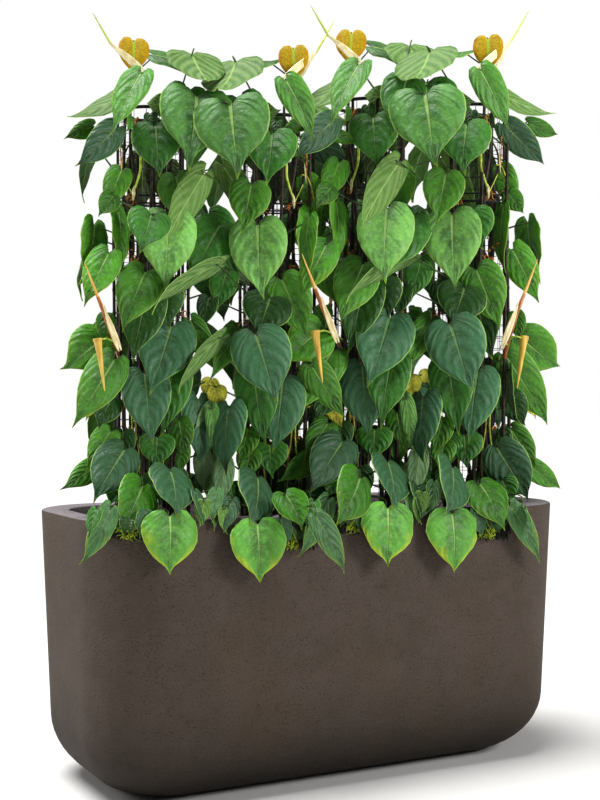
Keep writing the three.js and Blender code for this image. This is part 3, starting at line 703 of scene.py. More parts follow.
# %% [markdown]
# A leaf of this plant is heart-shaped: round lobes stand back from the neck, and the blade narrows to
# a drawn-out tip. It starts as a small flat grid, with closer rows where the outline turns, and gets
# its thickness while it is still flat. The rows are then bent back near the neck, so that the first
# row becomes the two lobes. Each copy takes the arch and the cup of its CAD blade, and then what makes
# it one of a kind: round or square shoulders, a fold at the midrib, halves that swell beside it, a
# wave along the margin and a tip that hooks aside. The grid is only as fine as the outline needs.

# %% Shape of a blade
ACROSS_STEPS = 8
BLADE_ARCH = 0.22
BLADE_CUP = 0.34
BLADE_MM = 0.9
LOBE_BACK = 0.125
OUTLINE = [
    # share of the length, half width of a round blade, half width with square shoulders
    (0.0, 0.4, 0.47),
    (0.07, 0.455, 0.495),
    (0.16, 0.49, 0.5),
    (0.28, 0.5, 0.492),
    (0.42, 0.475, 0.45),
    (0.56, 0.405, 0.355),
    (0.68, 0.31, 0.215),
    (0.78, 0.195, 0.105),
    (0.86, 0.085, 0.055),
    (0.93, 0.034, 0.03),
    (1.0, 0.006, 0.006),
]
ROWS, ROUND, SQUARE = (list(column) for column in zip(*OUTLINE))
TIP_FROM = 0.78
NEARLY_A_TURN = 6.28
UPPER, UNDER, STEM, PETIOLE, ROOT = range(5)


def half_width(v, squareness):
    """Half the width of a blade along it, in shares of its whole width."""
    return float(np.interp(v, ROWS, ROUND) * (1 - squareness) + np.interp(v, ROWS, SQUARE) * squareness)


def blade_template():
    """A flat square sheet with a thickness of 1, a UV map, and one finish for each side."""
    bm = bmesh.new()
    bmesh.ops.create_grid(bm, x_segments=ACROSS_STEPS, y_segments=len(ROWS) - 1, size=0.5)
    for vert in bm.verts:
        vert.co.y = ROWS[round((vert.co.y + 0.5) * (len(ROWS) - 1))] - 0.5
    bmesh.ops.solidify(bm, geom=bm.faces[:], thickness=1.0)
    heights = [vert.co.z for vert in bm.verts]
    middle = (max(heights) + min(heights)) / 2
    for vert in bm.verts:
        vert.co.z = 0.5 if vert.co.z > middle else -0.5
    uv = bm.loops.layers.uv.new("blade")
    for face in bm.faces:
        face.material_index = UNDER if all(v.co.z < 0 for v in face.verts) else UPPER
        for loop in face.loops:
            loop[uv].uv = (loop.vert.co.x + 0.5, loop.vert.co.y + 0.5)
    bmesh.ops.recalc_face_normals(bm, faces=bm.faces)
    mesh = bpy.data.meshes.new("blade_template")
    bm.to_mesh(mesh)
    bm.free()
    return mesh


def new_blades():
    """An empty bmesh with the layers that blades carry."""
    bm = bmesh.new()
    bm.loops.layers.uv.new("blade")
    for name in ("skin", "marks"):
        bm.verts.layers.float_color.new(name)
    return bm


def add_blade(bm, leaf, rng):
    """A copy of the template, bent to one leaf."""
    first = len(bm.verts)
    bm.from_mesh(template)
    bm.verts.ensure_lookup_table()
    skins, markings = (bm.verts.layers.float_color[name] for name in ("skin", "marks"))
    colour, *marks, squareness = TONES[leaf.tone]
    shade = rng.uniform(0.85, 1.15)
    skin = [channel * shade for channel in linear(colour)[:3]] + [1.0]
    across = leaf.along.cross(leaf.out)
    phase, waves = rng.uniform(0, NEARLY_A_TURN), rng.uniform(1.6, 2.8)
    squareness = min(max(squareness + rng.uniform(-0.2, 0.2), 0), 1)
    ripple, swell, fold = rng.uniform(0.014, 0.03), rng.uniform(0.01, 0.03), rng.uniform(0.05, 0.3)
    bend, hook, lean = rng.uniform(-0.06, 0.06), rng.uniform(-0.07, 0.07), rng.uniform(-0.2, 0.2)
    for vert in bm.verts[first:]:
        x, v, side = vert.co.x * 2, vert.co.y + 0.5, vert.co.z
        edge, end = abs(x), max(0.0, v - TIP_FROM) / (1 - TIP_FROM)
        share = x * half_width(v, squareness)
        lobe = min(1.25 * math.sin(math.pi * edge ** (0.8 + 0.3 * squareness)), 1) * (1 - v) ** 2.2
        s = v - LOBE_BACK * lobe * (1 + lean * x)
        rise = BLADE_ARCH * leaf.length * s * (1 - s) - BLADE_CUP * leaf.wide * share**2
        rise += leaf.wide * (swell * 4 * edge * (1 - edge) * (1 - v) ** 0.5 + fold * abs(share))
        wave = waves * NEARLY_A_TURN * v * (1 if x > 0 else 1.13)
        rise += leaf.wide * ripple * edge**2 * math.sin(phase + wave)
        rise -= leaf.length * 0.03 * end**2
        aside = share + bend * s * (1 - s) + hook * end**2
        vert.co = (
            leaf.neck
            + leaf.along * (s * leaf.length)
            + across * (aside * leaf.wide)
            + leaf.out * (rise + side * BLADE_MM)
        )
        vert[skins] = skin
        vert[markings] = (*marks, 1.0)


template = blade_template()
print("faces of a blade:", len(template.polygons))

# %% [markdown]
# Stalks, vines, roots and wires are all round and bent, so they are drawn as curves with a bevel, which
# keeps them round at every bend. A curve can hold many splines, each point with a radius of its own,
# and it becomes a mesh once it is finished.

# %% Round stalks


def smooth_path(points, steps=4):
    """Points along a smooth curve that passes through all the given ones."""
    ends = [points[0] * 2 - points[1], *points, points[-1] * 2 - points[-2]]
    path = []
    for a, b, c, d in zip(ends, ends[1:], ends[2:], ends[3:]):
        for i in range(steps):
            t = i / steps
            path.append(
                0.5 * (2 * b + (c - a) * t + (2 * a - 5 * b + 4 * c - d) * t**2)
                + 0.5 * (3 * b - a - 3 * c + d) * t**3
            )
    return path + [points[-1]]


def tubes_mesh(paths, resolution):
    """One mesh of round tubes, each given as a list of (point, radius)."""
    curve = bpy.data.curves.new("tubes", "CURVE")
    curve.dimensions = "3D"
    curve.bevel_depth = 1.0
    curve.bevel_resolution = resolution
    curve.use_fill_caps = True
    for path in paths:
        spline = curve.splines.new("POLY")
        spline.points.add(len(path) - 1)
        for point, (place, radius) in zip(spline.points, path):
            point.co = (*place, 1)
            point.radius = radius
    holder = bpy.data.objects.new("tubes", curve)
    mesh = bpy.data.meshes.new_from_object(holder)
    bpy.data.objects.remove(holder)
    bpy.data.curves.remove(curve)
    return mesh


def add_tubes(bm, paths, material_index, resolution=1):
    """The tubes joined to a bmesh, with one of its materials."""
    first = len(bm.faces)
    mesh = tubes_mesh(paths, resolution)
    bm.from_mesh(mesh)
    bpy.data.meshes.remove(mesh)
    bm.faces.ensure_lookup_table()
    for face in bm.faces[first:]:
        face.material_index = material_index


def tapered(points, radii, steps=4):
    """A smooth path with radii spread evenly from the first to the last."""
    path = smooth_path(points, steps)
    shares = np.linspace(0, 1, len(path))
    return list(zip(path, np.interp(shares, np.linspace(0, 1, len(radii)), radii)))


print("rings between two points:", len(smooth_path([Vector((0, 0, 0)), Vector((0, 0, 1))])))

# %% [markdown]
# A stem is a thin woody vine that stands in the soil and climbs the mesh. It swells a little at each
# joint, where a petiole leaves it, and holds on with short brown roots. The petioles start at the vine,
# run out and bend into the neck of their blade.

# %% Vines and petioles
PETIOLE_MM = 1.5
PETIOLE_DROP = 0.3
LOWEST_ROOT = 28
BELOW_TOP = 8
RIM_ARCH = 60
RIM_BOW = 22
JOINT_MM = 46
JOINT_SWELL, JOINT_SHARES = 0.9, (0.42, 0.5, 0.58)
VINE_MM = 3.9
TIP_MM = 2.2
VINE_TAPER = 0.9
ROOT_GAP = (34, 60)
ROOT_RADII = (1.1, 0.8, 0.4)


def vine_path(plant, index):
    """The points of a vine, a little thicker at each joint."""
    top = plant.tops[index]
    foot = plant.vine(index, 20)
    foot.z = -VINE_BURIED - plant.lift
    path = [(foot, VINE_MM)]
    height = 12.0
    while height < top - 6:
        before, joint, after = (JOINT_MM * share for share in JOINT_SHARES)
        for rise, swell in ((0, 0.0), (before, 0.0), (joint, JOINT_SWELL), (after, 0.0)):
            if height + rise < top - 4:
                radius = VINE_MM + swell - VINE_TAPER * height / top
                path.append((plant.vine(index, height + rise), radius))
        height += JOINT_MM
    path.append((plant.vine(index, top), TIP_MM))
    return path


def petiole_root(plant, index, neck):
    """Where a petiole leaves its vine, a little below the neck that it carries."""
    axis = plant.vine(index, neck.z)
    reach = math.hypot(neck.x - axis.x, neck.y - axis.y)
    height = min(max(neck.z - PETIOLE_DROP * reach, LOWEST_ROOT), plant.tops[index] - BELOW_TOP)
    return plant.vine(index, height)


def petiole_path(plant, leaf, root):
    """From behind the neck back to the vine, in an arch where the rim is in the way."""
    points = [leaf.neck, leaf.neck - leaf.out * 6 - leaf.along * 1.5]
    if leaf.over_rim and leaf.neck.z < RIM_ARCH:
        bow = root.lerp(leaf.neck, 0.86)
        rim = (TROUGH["height"] / MM - SOIL_TOP) / plant.size - plant.lift + RIM_BOW
        bow.z = max(rim, leaf.neck.z)
        points.append(bow)
    points.append(root)
    return tapered(points, [PETIOLE_MM * 0.75, PETIOLE_MM, PETIOLE_MM, PETIOLE_MM * 1.35])


def root_paths(plant, index, rng):
    """Short roots that hold a vine to the mesh, with their ends just inside it."""
    paths = []
    height = 40
    while height < plant.tops[index] - 40:
        start = plant.vine(index, height)
        inward = Vector((-start.x, -start.y, 0)).normalized()
        aside = Vector((-inward.y, inward.x, 0)) * rng.uniform(-1, 1)
        bend = start + inward * 7 + aside * 7 + Vector((0, 0, rng.uniform(-6, 2)))
        end = start + inward * 14 + aside * 12 + Vector((0, 0, rng.uniform(-14, -2)))
        paths.append(tapered([start, bend, end], ROOT_RADII, 3))
        height += rng.uniform(*ROOT_GAP)
    return paths


def placed_in_part(bm, plant):
    """Brings a bmesh from a plant's frame to the object's, and keeps its faces outwards."""
    bmesh.ops.transform(bm, matrix=plant.matrix, verts=bm.verts)
    if plant.hand < 0:
        bmesh.ops.reverse_faces(bm, faces=bm.faces)
    return bm


print("vine rings:", len(vine_path(plants["a"], 0)))

# %% [markdown]
# Both sides of a blade use the leaf's own UV map, where u runs across and v from neck to tip, so that
# the veins follow each blade. The side veins are a wave over rows: a number that grows by one from vein
# to vein, along slanted curves that fan out in the lobes. The skin colour and the marks of each leaf
# come from its own attributes, so one finish does for all of them.

# %% Map of a blade
LEAF = {
    "vein": "#8fb160",
    "shade": "#10290a",
    "bloom": "#557a5c",
    "margin": "#93bd55",
    "tip": "#97ba2c",
    "yellow": "#b0c022",
    "band": "#8ba562",
}
VEIN_ROWS, LOBE_VEINS = 5.2, 2.6
VEIN_SLANT, VEIN_CURVE = 0.3, 0.16


class BladeMap:
    """What both sides read: how far out from the midrib, how far along, the skin and the marks."""

    def __init__(self, material):
        uv = add(material, "SeparateXYZ", add(material, "UVMap", uv_map="blade"))
        self.v = uv.outputs["Y"]
        self.edge = add(material, "ABSOLUTE", add(material, "MULTIPLY_ADD", uv.outputs["X"], 2.0, -1.0))
        self.skin = add(material, "Attribute", attribute_name="skin")
        marks = add(material, "SeparateColor", add(material, "Attribute", attribute_name="marks"))
        self.band, self.bloom, self.yellow = marks.outputs
        self.place = add(material, "TexCoord").outputs["Object"]
        curve = add(material, "MULTIPLY", add(material, "POWER", self.edge, 2.5), VEIN_CURVE)
        slant = add(material, "MULTIPLY_ADD", self.edge, VEIN_SLANT, curve)
        above = add(material, "MAXIMUM", add(material, "SUBTRACT", self.v, slant), 0.0)
        fan = add(material, "DIVIDE", self.v, add(material, "MAXIMUM", slant, 0.001))
        fan = add(material, "MINIMUM", add(material, "SUBTRACT", fan, 1.0), 0.0)
        rows = add(material, "MULTIPLY", above, VEIN_ROWS)
        self.rows = add(material, "ADD", rows, add(material, "MULTIPLY", fan, LOBE_VEINS))


def vein_wave(material, rows):
    """A wave that is 1 on each side vein and 0 between them."""
    turn = add(material, "MULTIPLY", rows, 2 * math.pi)
    return add(material, "MULTIPLY_ADD", add(material, "COSINE", turn), 0.5, 0.5)


print("veins a side:", round(VEIN_ROWS + LOBE_VEINS))

# %% [markdown]
# The upper side of a heartleaf blade is waxy and softly glossy. What the eye sees is a green that runs
# from dark and bluish in old leaves to yellowish in young ones, deeper at the midrib and in patches,
# with painted shade in the grooves beside the veins, painted highlights in spots where the light catches
# the wax, and a painted sheen of the bloom on the ridges between the veins. A pale midrib and a few side
# veins show best near the neck, and the blade swells between them. A thin pale margin runs round to a
# yellow tip. A picture of a leaf could give all this, but a finish of nodes gives every leaf its own.

# %% Upper side
PATCH_MM, SPOT_MM = 30, 6
SHEEN_GAIN = 1.7
VEIN_SHARPNESS = 50.0


def upper_skin(material, f, wide, fine, wave, groove):
    """The green with deep patches, painted shade in grooves, painted highlights and a bloom with painted
    sheen.
    """
    deep = add(material, "MapRange", f.edge, 0.8, 0.1, 0.0, 0.42)
    deep = add(material, "ADD", deep, add(material, "MapRange", wide, 0.4, 0.64, -0.14, 0.16))
    # Painted shade: the grooves beside the veins are darker, added to the deeper patches.
    groove_shade = add(material, "MULTIPLY", add(material, "POWER", wave, 5.0), 0.22)
    deep = add(material, "ADD", deep, add(material, "MULTIPLY", groove_shade, groove), use_clamp=True)
    colour = add(material, "Mix", deep, f.skin, linear(LEAF["shade"]))
    # Painted highlight: spots where the light catches the wax are lighter.
    lit = add(material, "VectorMath", f.skin, SHEEN_GAIN, operation="SCALE")
    sheen = add(material, "MULTIPLY", add(material, "MapRange", fine, 0.45, 0.68), 0.35)
    colour = add(material, "Mix", sheen, colour, lit)
    # Bloom and painted sheen: a grey-blue bloom in patches, painted lighter on the ridges between the
    # veins.
    bloom = add(material, "MULTIPLY", f.bloom, add(material, "MapRange", wide, 0.3, 0.68, 0.3, 0.8))
    bloom = add(material, "MULTIPLY", bloom, add(material, "MapRange", wave, 1.0, 0.0, 0.3, 1.0))
    return add(material, "Mix", bloom, colour, linear(LEAF["bloom"]))


def upper_veins(material, f, colour, wave, midrib):
    """Fine side veins, pale near the neck and faint towards the margin, and the midrib."""
    faint = add(material, "MINIMUM", f.band, 0.3)
    faint = add(material, "MAXIMUM", faint, add(material, "MapRange", f.v, 0.4, 0.0, 0.0, 0.4))
    vein = add(material, "MULTIPLY", add(material, "POWER", wave, VEIN_SHARPNESS), faint)
    vein = add(material, "MULTIPLY", vein, add(material, "MapRange", f.edge, 0.95, 0.05))
    vein = add(material, "MULTIPLY", vein, add(material, "MapRange", f.v, 0.85, 0.6))
    colour = add(material, "Mix", vein, colour, linear(LEAF["vein"]))
    fade = add(material, "MapRange", f.v, 1.0, 0.0, 0.25, 0.75)
    fade = add(material, "MULTIPLY", fade, add(material, "MapRange", f.band, 0.1, 0.25, 0.45, 1.0))
    return add(material, "Mix", add(material, "MULTIPLY", midrib, fade), colour, linear(LEAF["vein"]))


def upper_edges(material, f, colour, wide):
    """A pale margin, a yellow tip, and the yellowing of an old leaf from its edges inwards."""
    margin = add(material, "MULTIPLY", add(material, "MapRange", f.edge, 0.95, 0.99), 0.75)
    colour = add(material, "Mix", margin, colour, linear(LEAF["margin"]))
    tip = add(material, "MULTIPLY", add(material, "MapRange", f.v, 0.9, 1.0), 0.7)
    colour = add(material, "Mix", tip, colour, linear(LEAF["tip"]))
    old = add(material, "MULTIPLY", f.v, add(material, "POWER", f.edge, 2.0))
    old = add(material, "ADD", old, add(material, "MapRange", wide, 0.4, 0.65, -0.12, 0.12))
    old = add(material, "MULTIPLY", add(material, "MapRange", old, 0.15, 0.6), f.yellow)
    return add(material, "Mix", add(material, "MULTIPLY", old, 0.7), colour, linear(LEAF["yellow"]))


def leaf_upper():
    """The whole upper side. Its relief swells between the veins and is finely uneven."""
    material = new_material("waxy_leaf_upper_side", ior=1.42, specular=0.3)
    f = BladeMap(material)
    wide = add(material, "TexNoise", f.place, per_metre(PATCH_MM), 3.0)
    fine = add(material, "TexNoise", f.place, per_metre(SPOT_MM), 5.0)
    uneven = add(material, "MapRange", wide, 0.3, 0.7, 0.0, 0.2)
    wave = vein_wave(material, add(material, "ADD", f.rows, uneven))
    groove = add(material, "MULTIPLY", wave, add(material, "MapRange", wide, 0.35, 0.65, 0.2, 0.8))
    near_rib = add(material, "SUBTRACT", f.edge, add(material, "MapRange", f.v, 0.5, 0.0, 0.0, 0.025))
    midrib = add(material, "MapRange", near_rib, 0.045, 0.01)
    colour = upper_skin(material, f, wide, fine, wave, groove)
    colour = upper_veins(material, f, colour, wave, midrib)
    colour = upper_edges(material, f, colour, wide)
    height = add(material, "MULTIPLY", groove, -0.75)
    height = add(material, "SUBTRACT", height, add(material, "MULTIPLY", midrib, 0.8))
    height = add(material, "ADD", height, add(material, "MULTIPLY", fine, 0.25))
    height = add(material, "ADD", height, add(material, "MULTIPLY", wide, 2.4))
    surface(material, {"Roughness": add(material, "MapRange", fine, 0.35, 0.65, 0.4, 0.58)})
    coloured_relief(material, colour, height, 0.8, 3.6)
    return material


upper_side = leaf_upper()
print("nodes of the upper side:", len(upper_side.node_tree.nodes))

# %% [markdown]
# The underside is duller, and its veins show as broad pale bands that are a little ragged. Stems,
# petioles and roots are plain by comparison: two near colours in patches of a few millimetres, with a
# grain of the same size. One function makes every finish of that kind.

# %% Underside and stalks
UNDER_SPOT_MM = 8


def leaf_under():
    material = new_material("dull_leaf_underside", 0.58, 1.4, 0.25)
    f = BladeMap(material)
    fine = add(material, "TexNoise", f.place, per_metre(UNDER_SPOT_MM), 4.0)
    wave = vein_wave(material, f.rows)
    ragged = add(material, "MULTIPLY", wave, add(material, "MapRange", fine, 0.3, 0.6, 0.4, 1.0))
    band = add(material, "MULTIPLY", add(material, "MULTIPLY", ragged, f.band), 0.55)
    dark = add(material, "MULTIPLY", add(material, "MapRange", fine, 0.5, 0.7), 0.3)
    midrib = add(material, "MULTIPLY", add(material, "MapRange", f.edge, 0.06, 0.015), 0.7)
    tip = add(material, "MULTIPLY", add(material, "MapRange", f.v, 0.9, 1.0), 0.6)
    colour = f.skin
    for share, name in ((0.06, "band"), (band, "band"), (dark, "shade"), (midrib, "vein"), (tip, "tip")):
        colour = add(material, "Mix", share, colour, linear(LEAF[name]))
    height = add(material, "ADD", add(material, "MULTIPLY", wave, 0.5), midrib)
    height = add(material, "ADD", height, add(material, "MULTIPLY", fine, 0.8))
    coloured_relief(material, colour, height, 0.5, 2.0)
    return material


def two_tones(material, place, low, high, grain_mm, detail, strength, relief_mm):
    """Two colours in patches of a given size, with a relief of the same size."""
    noise = add(material, "TexNoise", place, per_metre(grain_mm), detail)
    colour = add(material, "Mix", add(material, "MapRange", noise, 0.35, 0.65), linear(low), linear(high))
    coloured_relief(material, colour, noise, strength, relief_mm)
    return material


def mottled(name, low, high, grain_mm, roughness, relief_mm=0.3, detail=4.0):
    """A dull finish of two colours."""
    material = new_material(name, roughness, specular=0.2)
    place = add(material, "TexCoord").outputs["Object"]
    return two_tones(material, place, low, high, grain_mm, detail, 0.6, relief_mm)


under_side = leaf_under()
stem_skin = mottled("woody_dark_stem", "#120f0a", "#352b1c", 9, 0.5)
petiole_skin = mottled("dark_green_petiole", "#1d2a16", "#4a6030", 22, 0.45)
root_skin = mottled("dry_aerial_root", "#3c2a1a", "#8a6438", 3, 0.8)
foliage = [upper_side, under_side, stem_skin, petiole_skin, root_skin]
print("foliage finishes:", [material.name for material in foliage])

# %% [markdown]
# Each leafy stem becomes one piece, as it is one solid in the CAD: its vine, its roots, and its leaves
# on their petioles.

# %% Leafy stems
for plant in plants.values():
    for index in range(len(VINES)):
        rng = random.Random(f"{plant.name}{index}")
        bm = new_blades()
        own = [leaf for leaf in grown[plant.name] if leaf.vine == index]
        for leaf in own:
            add_blade(bm, leaf, rng)
        add_tubes(bm, [vine_path(plant, index)], STEM, 2)
        roots = [petiole_root(plant, index, leaf.neck) for leaf in own]
        petioles = [petiole_path(plant, leaf, root) for leaf, root in zip(own, roots)]
        if petioles:
            add_tubes(bm, petioles, PETIOLE)
        add_tubes(bm, root_paths(plant, index, rng), ROOT, 0)
        placed_in_part(bm, plant)
        name = f"{plant.name}{index + 1}"
        finished(f"stem_with_leaves_{name}", bm, foliage, [f"leafy_stem_{name}"])

# %% [markdown]
# Each plant climbs a column of moulded black mesh: a tube of small oblong windows with six stouter rods
# down its length, a thick hoop at its top and a double seam where two lengths of mesh meet. The
# windows come from the sides of a plain drum, each turned into a frame by the wireframe operator, so
# neighbouring frames share their bars.

# %% Mesh columns
WINDOWS_ROUND = 16
WINDOWS_UP = 34
MESH_BAR = 1.3
RODS = 6
ROD_MM = 2.9
HOOP_MM = 3.6
SEAM_MM = 1.9
SEAMS = (612, 626)
RING_STEPS = 36
BURIED_MM, MESH_BURIED_MM = 62, 6
HANG_MM = 45


def mesh_tube(plant):
    """The windows of a column, from just under the soil to the hoop."""
    bottom = -plant.lift - MESH_BURIED_MM
    bm = bmesh.new()
    made = bmesh.ops.create_circle(bm, cap_ends=False, radius=COLUMN_RADIUS, segments=WINDOWS_ROUND)
    for vert in made["verts"]:
        vert.co.z = bottom
    edges = list({edge for vert in made["verts"] for edge in vert.link_edges})
    step = (COLUMN_HEIGHT - bottom) / WINDOWS_UP
    for _ in range(WINDOWS_UP):
        drawn = bmesh.ops.extrude_edge_only(bm, edges=edges)
        edges = [item for item in drawn["geom"] if isinstance(item, bmesh.types.BMEdge)]
        edges = [edge for edge in edges if abs(edge.verts[0].co.z - edge.verts[1].co.z) < 0.01]
        verts = list({vert for edge in edges for vert in edge.verts})
        bmesh.ops.translate(bm, verts=verts, vec=(0, 0, step))
    bmesh.ops.wireframe(
        bm,
        faces=bm.faces[:],
        thickness=MESH_BAR,
        use_replace=True,
        use_boundary=True,
        use_even_offset=True,
    )
    return bm


def around(radius, turn, height):
    """The point at a turn and a height on a round about the column's axis."""
    return Vector((radius * math.cos(turn), radius * math.sin(turn), height))


def ring_path(height, thickness):
    turns = [2 * math.pi * i / RING_STEPS for i in range(RING_STEPS + 1)]
    return [(around(COLUMN_RADIUS, turn, height), thickness) for turn in turns]


def column_piece(plant):
    """The windows, the rods, of which every second one ends above the soil, and the rings."""
    bm = mesh_tube(plant)
    rods = []
    for i in range(RODS):
        turn = 2 * math.pi * i / RODS
        foot = -BURIED_MM if i % 2 == 0 else HANG_MM
        heights = (foot, COLUMN_HEIGHT / 2, COLUMN_HEIGHT)
        rods.append([(around(COLUMN_RADIUS, turn, height), ROD_MM) for height in heights])
    rods.append(ring_path(COLUMN_HEIGHT, HOOP_MM))
    rods.append(ring_path(COLUMN_HEIGHT / 2, ROD_MM))
    rods += [ring_path(height, SEAM_MM) for height in SEAMS]
    add_tubes(bm, rods, 0)
    return placed_in_part(bm, plant)


black_mesh = mottled("moulded_black_polyethylene", "#0c0d0b", "#1d201a", 12, 0.5, 0.15)
for plant in plants.values():
    name = f"column_{plant.name}"
    column = finished(f"mesh_{name}", column_piece(plant), [black_mesh], [name], 60)
    print(column.name, "faces:", len(column.data.polygons))

# %% [markdown]
# Inside the column stand older stems, leafless and nearly black, that the plant has outgrown. They make
# the dark heart that shows between the leaves. Each wanders a little on its way up, so it is a smooth
# curve through points that are moved by a seeded draw. Two more climb the front of the mesh, where
# they can be seen. Their points say how far across and up they pass, and a small helper finds the
# place on the round of the column.

# %% Old stems inside the columns
OLD_STEMS = 6
OLD_STEM_RADII = (4.7, 3.9, 2.7)
OLD_STEM_REACH, OLD_STEM_BENDS, OLD_STEM_FOOT = 44, 8, -40
FRONT_STEM_REACH = 72
THICK_STEM = (
    *((16, -40), (30, 120), (16, 260), (34, 400), (20, 520)),
    *((25, 610), (27, 655), (33, 690), (38, 726), (40, 776)),
)
FRONT_STEMS = [
    # radii, then points across and up
    ((4.4, 4.2, 4.0, 3.6, 2.6), THICK_STEM),
    ((2.4, 2.6, 2.0, 1.0), ((34, 640), (48, 668), (54, 692), (53, 714), (45, 734), (38, 742))),
    ((3.2, 3.0, 2.6, 2.0), ((-30, -40), (-44, 140), (-32, 300), (-46, 450), (-36, 600), (-44, 730))),
]


def on_column(plant, across, up, reach):
    """The point seen at across and up that lies on a round this wide about the column."""
    out = plant.hand * across * RECEDE + math.sqrt(max(reach**2 - across**2, 0))
    return plant.seen((across, up, out))


def old_stem(rng, number):
    """A stem that wanders a little on its way up inside the column."""
    turn = 2 * math.pi * (number + rng.uniform(0.1, 0.9)) / OLD_STEMS
    top = rng.uniform(560, COLUMN_HEIGHT - 12)
    points = []
    for i in range(OLD_STEM_BENDS + 1):
        reach = OLD_STEM_REACH + rng.uniform(-12, 10)
        bearing = turn + rng.uniform(-0.16, 0.16)
        height = OLD_STEM_FOOT + (top - OLD_STEM_FOOT) * i / OLD_STEM_BENDS
        points.append(around(reach, bearing, height))
    return tapered(points, OLD_STEM_RADII, 3)


for plant in plants.values():
    rng = random.Random(f"old {plant.name}")
    bm = bmesh.new()
    stems = [old_stem(rng, i) for i in range(OLD_STEMS)]
    for radii, spots in FRONT_STEMS:
        points = [on_column(plant, across, up, FRONT_STEM_REACH) for across, up in spots]
        stems.append(tapered(points, radii, 3))
    add_tubes(bm, stems, 0)
    placed_in_part(bm, plant)
    finished(f"old_stems_{plant.name}", bm, [stem_skin])
print("old stems a plant:", OLD_STEMS + len(FRONT_STEMS))

# %% [markdown]
# Potting soil fills the trough to three centimetres below its rim. Its body is the CAD solid, which keeps
# its shape and gets a crumbly finish. On it lie loose crumbs of peat and bark, and a few white grains.
# They could be one bumpy sheet, but loose pieces throw the small shadows that make soil look like soil.

# %% Soil
SOIL_INSET = 0.075
CRUMB_EDGE = 30
CRUMBS, GRAINS = 900, 90


def crumb_layer(count, smallest, largest, seed):
    """Small lumps, squashed and turned at random, half sunk in the top of the soil."""
    rng = random.Random(seed)
    bm = bmesh.new()
    for _ in range(count):
        size = rng.uniform(smallest, largest) * MM
        place = Vector(
            (
                rng.uniform(-1, 1) * (TROUGH["length"] / 2 - SOIL_INSET),
                rng.uniform(-1, 1) * (TROUGH["depth"] / 2 - SOIL_INSET),
                SOIL_TOP * MM + size * 0.15,
            )
        )
        axis = (rng.uniform(-1, 1), rng.uniform(-1, 1), 1)
        turn = Quaternion(axis, rng.uniform(0, NEARLY_A_TURN)).to_matrix()
        squash = Matrix.Diagonal((1.0, rng.uniform(0.6, 0.95), rng.uniform(0.4, 0.7)))
        matrix = Matrix.Translation(place) @ (turn @ squash).to_4x4()
        bmesh.ops.create_icosphere(bm, subdivisions=1, radius=size, matrix=matrix)
    return bm


peat = mottled("damp_peat_soil", "#1b130e", "#4a3726", 5, 0.95, 2.5, 6.0)
bark = mottled("bark_crumb", "#2a1c13", "#5d432c", 4, 0.9, 0.8)
perlite = mottled("white_perlite_grain", "#bdb8ad", "#e6e2d8", 2, 0.85, 0.4)
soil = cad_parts["soil"]
for material_slot in soil.material_slots:
    material_slot.material = peat
finished("bark_crumbs", crumb_layer(CRUMBS, 2.0, 5.5, "bark"), [bark], (), CRUMB_EDGE)
finished("perlite_grains", crumb_layer(GRAINS, 1.0, 2.0, "perlite"), [perlite], (), CRUMB_EDGE)
print("crumbs and grains:", CRUMBS + GRAINS)

# %% [markdown]
# New growth has its own colours, and a smooth skin that is streaked along its length. The young ochre
# leaf is grainy, with a green midrib and an orange rim. Its colours could be painted on the vertices,
# but the UV map of the blade already says where the rim and the midrib are.

# %% Finishes of young growth
OCHRE = {"low": "#806c00", "high": "#b09000", "rim": "#b87a08", "midrib": "#87a62c", "grain_mm": 3.846}
STRETCHED = (1.0, 1.0, 0.12)


def young_skin(name, low, high, streak_mm, roughness):
    material = new_material(name, roughness, 1.42, coat=0.1)
    place = add(material, "TexCoord").outputs["Object"]
    place = add(material, "Mapping", place, Scale=STRETCHED)
    return two_tones(material, place, low, high, streak_mm, 3.0, 0.3, 0.3)


def ochre_finish():
    material = new_material("young_ochre_leaf", 0.6, 1.42, 0.15)
    f = BladeMap(material)
    grain = add(material, "TexNoise", f.place, per_metre(OCHRE["grain_mm"]), 5.0)
    tone = add(material, "MapRange", grain, 0.25, 0.75)
    colour = add(material, "Mix", tone, linear(OCHRE["low"]), linear(OCHRE["high"]))
    rim = add(material, "MULTIPLY", add(material, "MapRange", f.edge, 0.7, 1.0), 0.6)
    colour = add(material, "Mix", rim, colour, linear(OCHRE["rim"]))
    midrib = add(material, "MULTIPLY", add(material, "MapRange", f.edge, 0.12, 0.04), 0.9)
    colour = add(material, "Mix", midrib, colour, linear(OCHRE["midrib"]))
    coloured_relief(material, colour, grain, 0.2, 0.5)
    return material


ochre = ochre_finish()
cream = young_skin("cream_sheath", "#cfbc84", "#ebdfb2", 9, 0.5)
lime = young_skin("lime_leaf_needle", "#a6b432", "#bcc84e", 30, 0.5)
brown = young_skin("orange_brown_shoot", "#86440f", "#b06a24", 8, 0.45)
peach = young_skin("pale_orange_shoot", "#c9933c", "#dfae5c", 9, 0.45)
gold = young_skin("rolled_golden_bud", "#b58d2e", "#dcb850", 7, 0.45)
lime_stalk = young_skin("lime_bud_stalk", "#7f9c22", "#b2c44a", 3, 0.4)
print("young finishes:", [m.name for m in (ochre, cream, lime, brown, peach, gold, lime_stalk)])

# %% [markdown]
# At the top of each plant a young ochre leaf stands upright beside a cream sheath, out of which comes a
# thin lime needle: the next leaf, still rolled. Lower down a thick brown shoot rises out of its own
# sheath, and a rolled bud hangs over. Each is a tapered tube along the path of its CAD solid, the ochre
# leaf is a blade of the same template, and so is the open side of each sheath.

